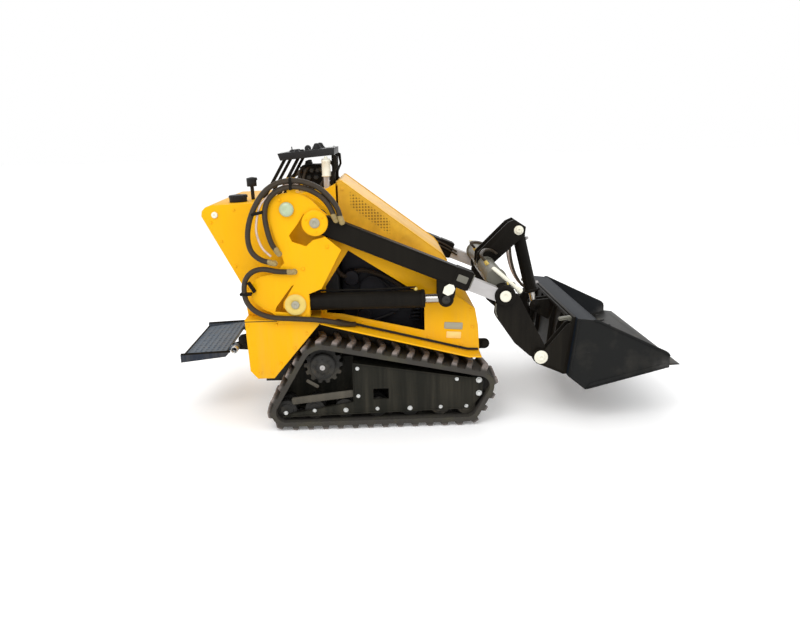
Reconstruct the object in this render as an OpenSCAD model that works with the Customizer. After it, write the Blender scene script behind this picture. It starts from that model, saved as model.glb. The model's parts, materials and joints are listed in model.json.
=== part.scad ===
// Compact tracked loader with a stand-on platform and a front bucket.
// Millimetres. X points forward, Y to the machine's left, Z up. The ground is at z = 0.

/* [Bucket] */
// bucket width across its side plates
bucket_width = 1080; // [1070:1:1120]
// thickness of the bucket's plates
bucket_plate = 8; // [6:1:12]
// height of the bucket's back
bucket_back = 284; // [260:1:300]

/* [Tracks] */
// width of each rubber track
track_width = 200; // [180:1:205]
// thickness of the track's belt
belt_thick = 22; // [16:1:26]
// height of the track's lugs
lug_height = 22; // [14:1:26]
// distance from lug to lug
lug_pitch = 72; // [60:1:90]
// radius of the bottom rollers
roller_radius = 48; // [40:1:50]

/* [Arms] */
// depth of the arm's box tube
arm_depth = 88; // [76:1:92]
// width of the arm's box tube
arm_tube = 76; // [60:1:78]
// outer diameter of the lift cylinder
lift_bore = 84; // [70:1:86]
// diameter of the lift cylinder's rod
lift_rod = 46; // [36:1:48]
// outer diameter of the tilt cylinder
tilt_bore = 66; // [54:1:68]
// diameter of the tilt cylinder's rod
tilt_rod = 32; // [26:1:36]
// radius of the tube that joins the arms
cross_radius = 42; // [34:1:44]

/* [Body] */
// thickness of the tower and side plates
plate = 8; // [6:1:8]
// half width of the hood
hood_half = 285; // [250:1:300]
// thickness of the hood's sheet
hood_sheet = 4; // [3:1:6]
// half width of the platform
platform_half = 320; // [280:1:340]
// half width of the console tray
tray_half = 200; // [160:1:230]

/* [Hidden] */
$fn = 48;

fit = 0.05;                 // radial clearance of a turning pin
seam = 0.05;                // gap left where two pieces meet on a slope
track_out = 520;            // outer face of the track
arm_mid = track_out - 53;   // y of the arm's centre plane
tower_out = arm_mid + 47;   // inner face of the outer tower plate
tower_in = arm_mid - 47;    // outer face of the inner tower plate
side_out = tower_in - 14;   // outer face of the side frame's plate
side_in = side_out - plate;
track_in = track_out - track_width;
belly_half = track_in - 10;
hitch_half = arm_mid + 33;

// pivots in the side view, [x, z]
arm_pin = [-496, 1010];
arm_tip = [380, 640];
bucket_pin = [556, 333];
lift_base = [-604, 632];
lift_eye = [100, 630];
tilt_top = [522, 888];
tilt_eye = [621, 479];
cross_at = [350, 710];
platform_pin = [-962, 342];
hood_pin = [-400, 1168];
back_top = 243 + bucket_back; // height of the bucket's back edge

lift_len = norm(lift_eye - lift_base);
tilt_len = norm(tilt_eye - tilt_top);
lift_turn = atan2(lift_eye[1] - lift_base[1], lift_eye[0] - lift_base[0]);
tilt_turn = atan2(tilt_eye[1] - tilt_top[1], tilt_eye[0] - tilt_top[0]);
arm_len = norm(arm_tip - arm_pin);
arm_turn = atan2(arm_tip[1] - arm_pin[1], arm_tip[0] - arm_pin[0]);
black_len = arm_len * 0.814;  // length of the arm's black part

// each cylinder's barrel ends clear of its rod's eye with the rod run right in
lift_barrel_len = lift_len - 98;
tilt_barrel_len = tilt_len - 71;
gland = 20;                   // length of the ring that closes a barrel
piston = 18;

// track wheels as [x, z, belt radius], in order round the loop, seen from the right
wheel_z = lug_height + belt_thick + roller_radius;
wheels = [
  [-682, wheel_z, roller_radius + belt_thick],
  [196, wheel_z, roller_radius + belt_thick],
  [255, 200, 74],
  [-496, 313, 116]];
function wheel(i) = wheels[i % 4];
// direction of the straight run from wheel i to the next, with both on its left side
function run_dir(i) = let (a = wheel(i), b = wheel(i + 1), dx = b[0] - a[0], dz = b[1] - a[1],
  d = sqrt(dx * dx + dz * dz)) atan2(dz, dx) + asin((b[2] - a[2]) / d) * -1;
function run_len(i) = let (a = wheel(i), b = wheel(i + 1), dx = b[0] - a[0], dz = b[1] - a[1])
  sqrt(dx * dx + dz * dz - (b[2] - a[2]) * (b[2] - a[2]));
function wrap(a) = a < 0 ? a + 360 : a >= 360 ? a - 360 : a;
function arc_deg(i) = wrap(run_dir(i) - run_dir(i + 3));
function arc_len(i) = arc_deg(i) * PI / 180 * wheel(i)[2];
function leg(i) = arc_len(i) + run_len(i);
loop_len = leg(0) + leg(1) + leg(2) + leg(3);
lugs = round(loop_len / lug_pitch);
// a place on the belt, [x, z, direction], at length s from the start of wheel i's arc
function place(s, i = 0) = s > leg(i) && i < 3 ? place(s - leg(i), i + 1) :
  let (w = wheel(i), d0 = run_dir(i + 3))
  s < arc_len(i) ? let (t = d0 + s / arc_len(i) * arc_deg(i))
      [w[0] + w[2] * sin(t), w[1] - w[2] * cos(t), t]
  : let (t = run_dir(i), u = s - arc_len(i))
      [w[0] + w[2] * sin(t) + u * cos(t), w[1] - w[2] * cos(t) + u * sin(t), t];

// a side-view shape made solid from y = -b to y = -a
module slab(a, b) { translate([0, -a, 0]) rotate([90, 0, 0]) linear_extrude(b - a) children(); }
module disc(p, r) { translate(p) circle(r); }
module rod_y(p, r, a, b) { slab(a, b) disc(p, r); }
module left() { mirror([0, 1, 0]) children(); }

// x on the rear box's back face at a height
function box_back(z) = -849 + (560 - z) * 11 / 250;
module lower_frame() color([0.12, 0.12, 0.13]) {
  difference() {
    slab(-belly_half, belly_half)
      polygon([[-800, 190], [250, 190], [250, 347], [210, 349], [-419, 512], [-497, 534], [-726, 270],
        [-800, 270]]);
    slab(-belly_half + 10, belly_half - 10)
      polygon([[-790, 200], [240, 200], [240, 600], [-482, 600], [-482, 510], [-718, 260],
        [-790, 260]]);
  }
  for (m = [0, 1]) mirror([0, m, 0]) for (x = [-330, -30])
    translate([x, -track_in - 10, 195]) cube([90, 20, 60]);
}

module side_right() {
  slab(side_in, side_out) difference() {
    polygon([[-497, 534], [-419, 512], [210, 349], [270, 347], [264, 475], [249, 561], [152, 633],
      [50, 740], [-390, 925], [-497, 925]]);
    polygon([[-470, 560], [-470, 690], [-356, 861], [-65, 669], [2, 650], [2, 457], [-400, 553]]);
  }
  slab(belly_half, track_out - 20) polygon([[-497, 534], [-419, 512], [210, 349], [270, 347], [270, 339],
    [209, 341], [-420, 504], [-497, 526]]);
  slab(hood_half + 6, side_in) polygon([[50, 740], [-390, 925], [-390, 917], [44, 735]]);
}
module side_frame_right() color([0.95, 0.72, 0.06]) side_right();
module side_frame_left() color([0.95, 0.72, 0.06]) left() side_right();

module nose_panel() color([0.95, 0.72, 0.06]) slab(-side_in, side_in)
  polygon([[50, 740], [152, 633], [249, 561], [264, 475], [270, 347], [262, 347.3], [256, 473],
    [242, 556], [147, 626], [44, 735]]);

module rear_box() color([0.95, 0.72, 0.06]) difference() {
  slab(-tower_out, tower_out)
    polygon([[-849, 560], [-838, 310], [-805, 270], [-726, 270], [-497, 534], [-497, 560]]);
  slab(-tower_out + 8, tower_out - 8)
    polygon([[-840, 552], [-830, 313], [-801, 278], [-730, 278], [-506, 536], [-506, 552]]);
  translate([-835, -400, 540]) cube([225, 800, 30]);
}

module rear_cowl() color([0.95, 0.72, 0.06]) difference() {
  slab(-tower_in + plate, tower_in - plate)
    polygon([[-1033, 1040], [-1029, 1064], [-1012, 1081], [-985, 1090], [-751, 1097], [-600, 1097],
      [-600, 560], [-849, 560], [-862, 700]]);
  slab(-tower_in + plate + 6, tower_in - plate - 6)
    polygon([[-1024, 1040], [-1020, 1060], [-1008, 1073], [-984, 1083], [-751, 1090], [-606, 1090],
      [-606, 550], [-842, 550], [-855, 701]]);
}

module dash() color([0.95, 0.72, 0.06]) {
  difference() {
    slab(-hood_half, hood_half)
      polygon([[-600, 925], [-600, 1120], [-461, 1140], [-410, 1165], [-410, 925]]);
    slab(-hood_half + 6, hood_half - 6)
      polygon([[-594, 915], [-594, 1115], [-460, 1134], [-416, 1156], [-416, 915]]);
  }
  for (m = [0, 1]) mirror([0, m, 0]) for (y = [172, 216]) slab(y, y + 12) difference() {
    union() {
      polygon([[-410, 1165], [-410, 1148], [-400, 1162], [-400, 1174]]);
      disc(hood_pin, 6.5);
    }
    disc(hood_pin, 4 + fit);
  }
}

// the fuel and oil tank under the dash, as one plain block
module tank_block() color([0.05, 0.05, 0.05]) slab(-hood_half, hood_half)
  polygon([[-600, 560], [-600, 925], [-410, 925], [-410, 560]]);

module outer_right() {
  difference() {
    slab(tower_out, tower_out + plate)
      polygon([[-690, 540], [-707, 592], [-765, 622], [-796, 650], [-807, 686], [-803, 726], [-784, 754],
        [-754, 769], [-690, 781], [-645, 830], [-674, 921], [-697, 1008], [-716, 1065], [-704, 1108],
        [-680, 1130], [-640, 1145], [-597, 1149], [-552, 1140], [-508, 1113], [-470, 1072], [-432, 1040],
        [-382, 882], [-480, 703], [-541, 679], [-541, 540]]);
    // the open notch behind the arm's pin, where the arm shows
    slab(tower_out - 1, tower_out + plate + 1)
      polygon([[-545, 1051], [-576, 1005], [-617, 954], [-604, 925], [-541, 903], [-510, 930], [-453, 945],
        [-382, 882], [-340, 882], [-340, 1042], [-436, 1042]]);
    slab(tower_out - 1, tower_out + plate + 1)
      polygon([[-606, 727], [-619, 719], [-694, 622], [-702, 600], [-634, 592], [-662, 618], [-660, 642]]);
  }
  rod_y(arm_pin, 60, tower_out, tower_out + plate + 12);
  rod_y(arm_pin, 25, tower_in, tower_out);
  rod_y(lift_base, 20, tower_in, tower_out);
  rod_y(lift_base, 52, tower_out + plate, tower_out + plate + 8);
  rod_y([-620, 1074], 30, tower_out + plate, tower_out + plate + 8);
  // the tab that carries the hoses over the top
  slab(tower_out, tower_out + plate) polygon([[-615, 1140], [-615, 1214], [-575, 1214], [-575, 1140]]);
}
module inner_right() slab(tower_in - plate, tower_in)
  polygon([[-827, 560], [-790, 700], [-742, 960], [-718, 1062], [-700, 1105], [-655, 1134], [-597, 1142],
    [-545, 1132], [-490, 1100], [-440, 1056], [-420, 1000], [-420, 940], [-394, 882], [-488, 703],
    [-541, 640], [-541, 560]]);
module tower_outer_right() color([0.95, 0.72, 0.06]) outer_right();
module tower_outer_left() color([0.95, 0.72, 0.06]) left() outer_right();
module tower_inner_right() color([0.95, 0.72, 0.06]) inner_right();
module tower_inner_left() color([0.95, 0.72, 0.06]) left() inner_right();

engine_half = min(belly_half - 80, hood_half - 55);
// engine and cooler under the hood, as one plain block
module engine_block() color([0.15, 0.15, 0.16]) slab(-engine_half, engine_half)
  polygon([[-405, 200], [-405, 960], [-320, 960], [15, 700], [15, 200]]);

module console_tray() color([0.06, 0.06, 0.07]) difference() {
  slab(-tray_half, tray_half) polygon([[-691, 1312], [-415, 1335], [-415, 1300], [-679, 1278]]);
  slab(-tray_half + 10, tray_half - 10) polygon([[-679, 1320], [-427, 1342], [-427, 1311], [-673, 1291]]);
}

strut_feet = [[-776, -665], [-709, -598]]; // x of each strut's foot and of its head
module console_struts() color([0.08, 0.08, 0.09]) for (y = [-150, 130]) slab(y, y + 20) {
  for (q = strut_feet) polygon([[q[0] - 9, cowl_top(q[0] - 9) + seam],
    [q[0] + 9, cowl_top(q[0] + 9) + seam], [q[1] + 9, tray_low(q[1] + 9) - seam],
    [q[1] - 9, tray_low(q[1] - 9) - seam]]);
  polygon([[-432, lip_top(-432)], [-416, lip_top(-416)], [-416, tray_low(-416) - seam],
    [-432, tray_low(-432) - seam]]);
}

module control_levers() color([0.03, 0.03, 0.03]) {
  for (y = [-110, 110]) {
    translate([-505, y, 1305.5]) cylinder(r = 6, h = 38);
    translate([-505, y, 1340]) sphere(15, $fn = 24);
  }
  translate([-560, 0, 1301]) cylinder(r = 8, h = 30);
  translate([-560, 0, 1330]) sphere(17, $fn = 24);
}

// heights at a place along X: the cowl's top, the dash's top and its front lip, the tray's underside
cowl_tilt = atan(7 / 234);
function cowl_top(x) = 1097 - max(0, -751 - x) * tan(cowl_tilt);
function dash_top(x) = 1120 + (x + 600) * 20 / 139;
function lip_top(x) = 1140 + (x + 461) * 25 / 51;
function tray_low(x) = 1278 + (x + 679) * 22 / 264;
module control_valve() color([0.1, 0.1, 0.1])
  slab(-110, 110) polygon([[-585, dash_top(-585)], [-485, dash_top(-485)], [-485, 1250], [-585, 1250]]);

module filter_canister() color([0.75, 0.76, 0.76]) {
  slab(178, 212) polygon([[-470, dash_top(-470) + seam], [-461, 1140 + seam], [-444, lip_top(-444) + seam],
    [-444, 1200], [-470, 1200]]);
  translate([-457, -195, 1198]) cylinder(r = 21, h = 84);
}

module filler_caps() color([0.05, 0.05, 0.05]) {
  translate([-876, 120 - tower_in, cowl_top(-876) + seam]) rotate([0, -cowl_tilt, 0])
    cylinder(r = 42, h = 32);
  translate([-822, 220 - tower_in, cowl_top(-822) + seam]) rotate([0, -cowl_tilt, 0]) {
    cylinder(r = 9, h = 70);
    translate([0, 0, 64]) cylinder(r = 24, h = 40);
  }
}

// one hose as a swept tube through round numbers
function unit(v) = v / norm(v);
function lean(p, i) = unit((i < len(p) - 1 ? p[i + 1] : p[i]) - (i > 0 ? p[i - 1] : p[i]));
module tube(p, r, n = 8) {
  rings = [for (i = [0:len(p) - 1]) let (t = lean(p, i), s = unit(cross(t, [0, 1, 0.02])), u = cross(s, t))
    for (k = [0:n - 1]) p[i] + r * (cos(360 * k / n) * s + sin(360 * k / n) * u)];
  m = len(p);
  polyhedron(rings, concat([[for (k = [0:n - 1]) k]], [[for (k = [n - 1:-1:0]) (m - 1) * n + k]],
    [for (i = [0:m - 2]) for (k = [0:n - 1])
      [i * n + k, (i + 1) * n + k, (i + 1) * n + (k + 1) % n, i * n + (k + 1) % n]]), convexity = 6);
}
hose_y = tower_out + plate + 8.3;
// each hose's points, [x, y outward, z]
hose_runs = [
  [[-376, hose_y, 1020], [-392, hose_y, 1075], [-425, hose_y, 1125], [-470, hose_y, 1166],
    [-530, hose_y, 1193], [-594, hose_y, 1202], [-658, hose_y, 1190], [-712, hose_y, 1156],
    [-756, hose_y, 1098], [-789, hose_y, 1025], [-802, hose_y, 950], [-790, hose_y, 888],
    [-752, hose_y, 850], [-700, hose_y, 832]],
  [[-404, hose_y, 1030], [-425, hose_y, 1082], [-462, hose_y, 1128], [-522, hose_y, 1162],
    [-590, hose_y, 1175], [-652, hose_y, 1160], [-698, hose_y, 1120], [-718, hose_y, 1064],
    [-714, hose_y, 995], [-697, hose_y, 925], [-672, hose_y, 882]],
  [[-612, hose_y, 788], [-677, hose_y, 792], [-740, hose_y, 804], [-790, hose_y, 794], [-825, hose_y, 758],
    [-836, hose_y, 705], [-826, hose_y, 650], [-785, hose_y, 604], [-715, hose_y, 576], [-610, hose_y, 566],
    [-510, hose_y, 558], [-440, hose_y - 18, 542], [-380, hose_y - 60, 518], [-335, hose_y - 100, 506]]];
module hoses_r() for (run = hose_runs) tube([for (q = run) [q[0], -q[1], q[2]]], 8);
module hoses_right() color([0.04, 0.04, 0.04]) hoses_r();
module hoses_left() color([0.04, 0.04, 0.04]) left() hoses_r();

// the belt's line as flats that touch each wheel's circle, with the wheels' radii grown
function belt_points(grow) = [for (i = [0:3]) let (n = ceil(arc_deg(i) / 12), step = arc_deg(i) / n)
  for (k = [0:n - 1]) let (t = run_dir(i + 3) + (k + 0.5) * step, r = (wheel(i)[2] + grow) / cos(step / 2))
    [wheel(i)[0] + r * sin(t), wheel(i)[1] - r * cos(t)]];
// one lug and the belt up to the next, [length along the belt, share of the lug's height]
lug_shape = [[-17, 0], [-11, 1], [11, 1], [17, 0], [26, 0], [36, 0], [46, 0]];
function on_belt(s, out) = let (q = place(s >= loop_len ? s - loop_len : s))
  [q[0] + out * sin(q[2]), q[1] - out * cos(q[2])];
module track_piece() slab(track_in, track_out) difference() {
  polygon([for (k = [0:lugs - 1]) for (e = lug_shape)
    on_belt((k + 0.5) * loop_len / lugs + e[0], e[1] * lug_height)]);
  polygon(belt_points(-belt_thick));
}
module track_right() color([0.05, 0.05, 0.05]) track_piece();
module track_left() color([0.05, 0.05, 0.05]) left() track_piece();

roller_at = [-545, -398, -239, -80, 70];
module frame_piece() {
  difference() {
    union() {
      slab(track_in + 10, track_in + 26) frame_2d();
      slab(track_out - 42, track_out - 26) frame_2d();
      slab(track_in + 26, track_out - 42) polygon([[-352, 170], [-352, 330], [190, 244], [190, 170]]);
    }
    slab(track_in, track_out) polygon([[-257, 140], [-182, 140], [-182, 195], [-257, 195]]);
  }
}
module frame_2d() polygon([[-700, 70], [-352, 130], [-352, 330], [215, 240], [276, 232], [276, 150],
  [215, 80], [-700, 62]]);
module track_frame_right() color([0.2, 0.18, 0.16]) frame_piece();
module track_frame_left() color([0.2, 0.18, 0.16]) left() frame_piece();

module roller_piece() {
  for (x = roller_at) rod_y([x, wheel_z], roller_radius, track_in + 26, track_out - 42);
  rod_y([wheels[0][0], wheels[0][1]], roller_radius, track_in + 26, track_out - 42);
  rod_y([wheels[1][0], wheels[1][1]], roller_radius, track_in + 26, track_out - 42);
  rod_y([wheels[2][0], wheels[2][1]], wheels[2][2] - belt_thick, track_in + 26, track_out - 42);
}
module rollers_right() color([0.1, 0.1, 0.1]) roller_piece();
module rollers_left() color([0.1, 0.1, 0.1]) left() roller_piece();

teeth = 14;
tooth_shape = [[-5, 0], [5, 0], [9, 14], [16.7, 14]]; // [degrees, depth below the tip]
module drive_piece() {
  r = wheels[3][2] - belt_thick;
  slab(track_in + 60, track_out - 60) translate([wheels[3][0], wheels[3][1]])
    polygon([for (k = [0:teeth - 1]) for (e = tooth_shape) let (a = k * 360 / teeth + e[0])
      (r - e[1]) * [cos(a), sin(a)]]);
  rod_y([wheels[3][0], wheels[3][1]], 62, belly_half, track_out - 30);
}
module drive_right() color([0.14, 0.14, 0.14]) drive_piece();
module drive_left() color([0.14, 0.14, 0.14]) left() drive_piece();

// eyes for tying the machine down, two in front and two behind
tie_front = [300, 372];
tie_rear = [-872, 450];
module tie_lugs() color([0.06, 0.06, 0.06]) for (m = [0, 1]) mirror([0, m, 0]) {
  slab(side_in - 38, side_in - 24) difference() {
    union() {
      polygon([[270, 347], [300, 347], [325, 372], [300, 397], [268.4, 397]]);
      disc(tie_front, 25);
    }
    disc(tie_front, 13);
  }
  slab(tower_in + 20, tower_in + 34) difference() {
    union() {
      polygon([[box_back(480), 480], [box_back(420), 420], [-872, 425], [-872, 475]]);
      disc(tie_rear, 25);
    }
    disc(tie_rear, 13);
  }
}

module platform_brackets() color([0.1, 0.1, 0.1]) for (m = [0, 1]) mirror([0, m, 0]) {
  slab(170, 182) polygon([[box_back(380), 380], [box_back(315), 315], [-945, 322], [-985, 330], [-985, 355],
    [-945, 366]]);
  rod_y(platform_pin, 10, 182, 232);
}
module platform_tray() color([0.3, 0.3, 0.3]) {
  difference() {
    union() {
      slab(-platform_half, platform_half)
        polygon([[-995, 350], [-1219, 322], [-1219, 302], [-995, 330]]);
      for (m = [0, 1]) mirror([0, m, 0]) slab(platform_half - 12, platform_half)
        polygon([[-970, 352], [-1219, 342], [-1219, 302], [-995, 326]]);
      for (m = [0, 1]) mirror([0, m, 0]) slab(190, 220) {
        polygon([[-1000, 346], [-1000, 330], [-962, 328], [-962, 356]]);
        disc(platform_pin, 18);
      }
    }
    slab(-platform_half, platform_half) disc(platform_pin, 10 + fit);
  }
}

hood_line = [[-400, 1180], [-385, 1180], [98, 813], [125, 780]];
module hood_shell() color([0.95, 0.72, 0.06]) {
  difference() {
    slab(-hood_half, hood_half) polygon([[-400, 1164], hood_line[0], hood_line[1], hood_line[2],
      hood_line[3], [125, 706], [121, 706], [121, 778], [95, 809], [-388, 1175], [-396, 1175],
      [-396, 1164]]);
    for (m = [0, 1]) mirror([0, m, 0]) slab(168, 232)
      polygon([[-401, 1160], [-395.9, 1160], [-395.9, 1175], [-401, 1175]]);
  }
  for (m = [0, 1]) mirror([0, m, 0]) {
    slab(hood_half - hood_sheet, hood_half)
      polygon([[-400, 964], hood_line[0], hood_line[1], hood_line[2], hood_line[3], [125, 706]]);
    rod_y(hood_pin, 4, 171, 229);
    rod_y(hood_pin, 9, 190, 210);
  }
}

module arm_piece() difference() {
  union() {
    slab(arm_mid - arm_tube / 2, arm_mid + arm_tube / 2) {
      disc(arm_pin, 58);
      translate(arm_pin) rotate(arm_turn) translate([0, -arm_depth / 2]) square([black_len, arm_depth]);
    }
    for (y = [arm_mid - 35, arm_mid + 27]) slab(y, y + 8) {
      polygon([[60, 740], [60, 640], [100, 596], [140, 640], [150, 702]]);
      disc(lift_eye, 36);
    }
  }
  slab(arm_mid - 60, arm_mid + 60) disc(arm_pin, 25 + fit);
  slab(arm_mid - arm_tube / 2 + 7, arm_mid + arm_tube / 2 - 7) translate(arm_pin) rotate(arm_turn)
    translate([66, -arm_depth / 2 + 7]) square([black_len - 74, arm_depth - 14]);
  rod_y(arm_pin + (black_len - 34) * [cos(arm_turn), sin(arm_turn)], 6, arm_mid - arm_tube, arm_mid);
}
module arm_right() color([0.07, 0.07, 0.07]) arm_piece();
module arm_left() color([0.07, 0.07, 0.07]) left() arm_piece();

// the pale length between the black tube and the tip's ring
module sleeve_piece() difference() {
  slab(arm_mid - arm_tube / 2 + 3, arm_mid + arm_tube / 2 - 3) translate(arm_pin) rotate(arm_turn)
    translate([black_len, -arm_depth / 2 + 3]) square([arm_len - black_len, arm_depth * 0.7]);
  rod_y(arm_tip, tip_radius, arm_mid - arm_tube, arm_mid + arm_tube);
}
module arm_sleeve_right() color([0.75, 0.75, 0.73]) sleeve_piece();
module arm_sleeve_left() color([0.75, 0.75, 0.73]) left() sleeve_piece();

tip_radius = 50;
module arm_end_piece() difference() {
  union() {
    rod_y(arm_tip, tip_radius, arm_mid - arm_tube / 2, arm_mid + arm_tube / 2);
    slab(arm_mid - 15, arm_mid + 15)
      polygon([[345, 640], [340, 615], [333, 550], [342, 530], [430, 402], [505, 335], [540, 320],
        [592, 338], [594, 352], [446, 640]]);
    rod_y(bucket_pin, 38, arm_mid - 15, arm_mid + 15);
    rod_y(arm_tip, 27, arm_mid + arm_tube / 2, arm_mid + arm_tube / 2 + 8);
  }
  rod_y(bucket_pin, 20 + fit, arm_mid - 60, arm_mid + 60);
}
module arm_end_right() color([0.07, 0.07, 0.07]) arm_end_piece();
module arm_end_left() color([0.07, 0.07, 0.07]) left() arm_end_piece();

arm_in = arm_mid - arm_tube / 2;
module crossmember() color([0.25, 0.27, 0.25]) difference() {
  union() {
    rod_y(arm_tip, 38, -arm_in, arm_in);
    rod_y(cross_at, cross_radius, -arm_in, arm_in);
  }
  rod_y(arm_tip, 31, -arm_in - 1, arm_in + 1);
  rod_y(cross_at, cross_radius - 7, -arm_in + 8, arm_in - 8);
  translate([cross_at[0], -200, cross_at[1] - cross_radius - 5]) cylinder(r = 5, h = cross_radius);
}
module stay_rod() color([0.75, 0.75, 0.73]) rod_y([424, 672], 13, -arm_in, arm_in);
module horn() color([0.07, 0.07, 0.07]) {
  difference() {
    for (y = [-53, 38]) slab(y, y + 15)
      polygon([[330, 690], [400, 725], [555, 862], [560, 905], [500, 945], [465, 930], [305, 775],
        [300, 720]]);
    rod_y(cross_at, cross_radius, -60, 60);
  }
  rod_y(tilt_top, 14, -53, 53);
}

// the cylinders are drawn along +X from their base and turned into place
module lift_at() translate([lift_base[0], 0, lift_base[1]]) rotate([0, -lift_turn, 0]) children();
module tilt_at() translate([tilt_top[0], 0, tilt_top[1]]) rotate([0, -tilt_turn, 0]) children();
module along(r, a, b) translate([a, 0, 0]) rotate([0, 90, 0]) cylinder(r = r, h = b - a);
module barrel(r, wall, rod, length, eye, pin, half) difference() {
  union() {
    along(r, eye * 0.7, length);
    slab(-half, half) circle(eye);
  }
  along(r - wall, eye + 12, length - gland);
  along(rod + fit, length - gland - 1, length + 1);
  slab(-half - 1, half + 1) circle(pin + fit);
}
module rod(r, head, a, b, eye, half) {
  along(r, a, b - eye * 0.5);
  along(head, a, a + piston);
  translate([b, 0, 0]) slab(-half, half) circle(eye);
}
module lift_barrel_right() color([0.05, 0.05, 0.05]) translate([0, -arm_mid, 0]) lift_at()
  barrel(lift_bore / 2, 7, lift_rod / 2, lift_barrel_len, 40, 20, 40);
module lift_barrel_left() color([0.05, 0.05, 0.05]) translate([0, arm_mid, 0]) lift_at()
  barrel(lift_bore / 2, 7, lift_rod / 2, lift_barrel_len, 40, 20, 40);
module lift_rod_right() color([0.8, 0.8, 0.8]) translate([0, -arm_mid, 0]) lift_at()
  rod(lift_rod / 2, lift_bore / 2 - 7 - fit, 180, lift_len, 32, 26.7);
module lift_rod_left() color([0.8, 0.8, 0.8]) translate([0, arm_mid, 0]) lift_at()
  rod(lift_rod / 2, lift_bore / 2 - 7 - fit, 180, lift_len, 32, 26.7);
module tilt_barrel() color([0.06, 0.06, 0.06]) tilt_at()
  barrel(tilt_bore / 2, 6, tilt_rod / 2, tilt_barrel_len, 27, 14, 35);
module tilt_rod_eye() color([0.8, 0.8, 0.8]) tilt_at()
  rod(tilt_rod / 2, tilt_bore / 2 - 6 - fit, 79, tilt_len, 26, 27.7);

module hitch() color([0.08, 0.08, 0.09]) {
  slab(-hitch_half, hitch_half) polygon([[668, 244], [681, 244], [719, back_top], [706, back_top]]);
  for (m = [0, 1]) mirror([0, m, 0]) {
    for (y = [arm_mid - 30, arm_mid + 20]) slab(y, y + 10) {
      polygon([[530, 308], [632, 264], [672, 244], [706, 500], [680, 490], [575, 366]]);
      disc(bucket_pin, 36);
    }
    rod_y(bucket_pin, 20, arm_mid - 30, arm_mid + 36);
  }
  for (y = [-38, 28]) slab(y, y + 10) {
    polygon([[610, 450], [690, 400], [706, 515], [630, 508]]);
    disc(tilt_eye, 30);
  }
}

floor_end = 1168; // where the bucket's floor and sides end and its edge plate goes on
function floor_low(x) = 175 + (x - 765) * 112 / 454;
function floor_top(x) = 185 + (x - 768) * 105 / 422;
module bucket() color([0.08, 0.09, 0.11]) {
  for (y = [-bucket_width / 2, bucket_width / 2 - bucket_plate]) slab(y, y + bucket_plate)
    polygon([[685, 246], [723, back_top], [809, back_top - 10], [1152, 349], [floor_end, 330],
      [floor_end, floor_low(floor_end)], [765, 175]]);
  slab(-bucket_width / 2, bucket_width / 2)
    polygon([[681, 244], [765, 175], [floor_end, floor_low(floor_end)], [floor_end, floor_top(floor_end)],
      [768, 185], [692, 249], [730, back_top - 8], [809, back_top - 18], [809, back_top - 10],
      [719, back_top]]);
}
bucket_in = bucket_width / 2 - bucket_plate;
module cutting_edge() color([0.3, 0.3, 0.3]) {
  slab(-bucket_in + seam, bucket_in - seam) polygon([[1080, floor_top(1080) + seam],
    [floor_end + seam, floor_top(floor_end) + seam], [floor_end + seam, floor_top(floor_end) + 12],
    [1090, floor_top(1090) + 12]]);
  slab(-bucket_width / 2, bucket_width / 2) polygon([[floor_end + seam, floor_top(floor_end) + seam],
    [1219, 287], [1219, 290], [floor_end + seam, floor_top(floor_end) + 12]]);
}

lower_frame();
side_frame_right();
side_frame_left();
nose_panel();
rear_box();
rear_cowl();
dash();
tower_outer_right();
tower_outer_left();
tower_inner_right();
tower_inner_left();
engine_block();
tank_block();
console_tray();
console_struts();
control_levers();
control_valve();
filter_canister();
filler_caps();
hoses_right();
hoses_left();
track_right();
track_left();
track_frame_right();
track_frame_left();
rollers_right();
rollers_left();
drive_right();
drive_left();
tie_lugs();
platform_brackets();
hood_shell();
arm_right();
arm_left();
arm_sleeve_right();
arm_sleeve_left();
arm_end_right();
arm_end_left();
crossmember();
stay_rod();
horn();
lift_barrel_right();
lift_barrel_left();
lift_rod_right();
lift_rod_left();
tilt_barrel();
tilt_rod_eye();
hitch();
bucket();
cutting_edge();
platform_tray();
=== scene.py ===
# Looks for a compact tracked loader with a stand-on platform.
# Everything is in metres: X forward to the bucket, Y to the machine's left, Z up.
# Tables of places are in millimetres, as a drawing gives them, and go through metres().
# What the two sides share is drawn on the right, at negative Y, and addPair mirrors it.
import json
import math
import bpy
import numpy as np
from mathutils import Matrix, Vector

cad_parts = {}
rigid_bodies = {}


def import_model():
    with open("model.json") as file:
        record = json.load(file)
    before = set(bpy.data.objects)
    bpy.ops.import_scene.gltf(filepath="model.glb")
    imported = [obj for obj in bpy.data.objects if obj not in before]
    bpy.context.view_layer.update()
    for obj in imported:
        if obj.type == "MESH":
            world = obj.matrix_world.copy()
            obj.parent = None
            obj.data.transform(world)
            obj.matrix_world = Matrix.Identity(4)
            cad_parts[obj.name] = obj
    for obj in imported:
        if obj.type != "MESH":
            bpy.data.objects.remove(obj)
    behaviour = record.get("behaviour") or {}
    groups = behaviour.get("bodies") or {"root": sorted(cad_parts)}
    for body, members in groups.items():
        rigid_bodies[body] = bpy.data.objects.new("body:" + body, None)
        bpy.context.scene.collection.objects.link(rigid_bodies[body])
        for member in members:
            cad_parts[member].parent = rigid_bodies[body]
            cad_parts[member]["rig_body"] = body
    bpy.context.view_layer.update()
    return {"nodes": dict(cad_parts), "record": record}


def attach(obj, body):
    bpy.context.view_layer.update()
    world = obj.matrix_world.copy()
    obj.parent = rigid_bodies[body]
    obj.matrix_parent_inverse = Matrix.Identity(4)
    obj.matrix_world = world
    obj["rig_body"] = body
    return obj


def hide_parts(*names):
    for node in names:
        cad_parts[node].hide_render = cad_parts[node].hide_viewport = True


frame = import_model()
nodes = frame["nodes"]
scene = bpy.context.scene
scene.view_settings.view_transform = "Standard"
print("frame:", len(nodes), "nodes")


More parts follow.
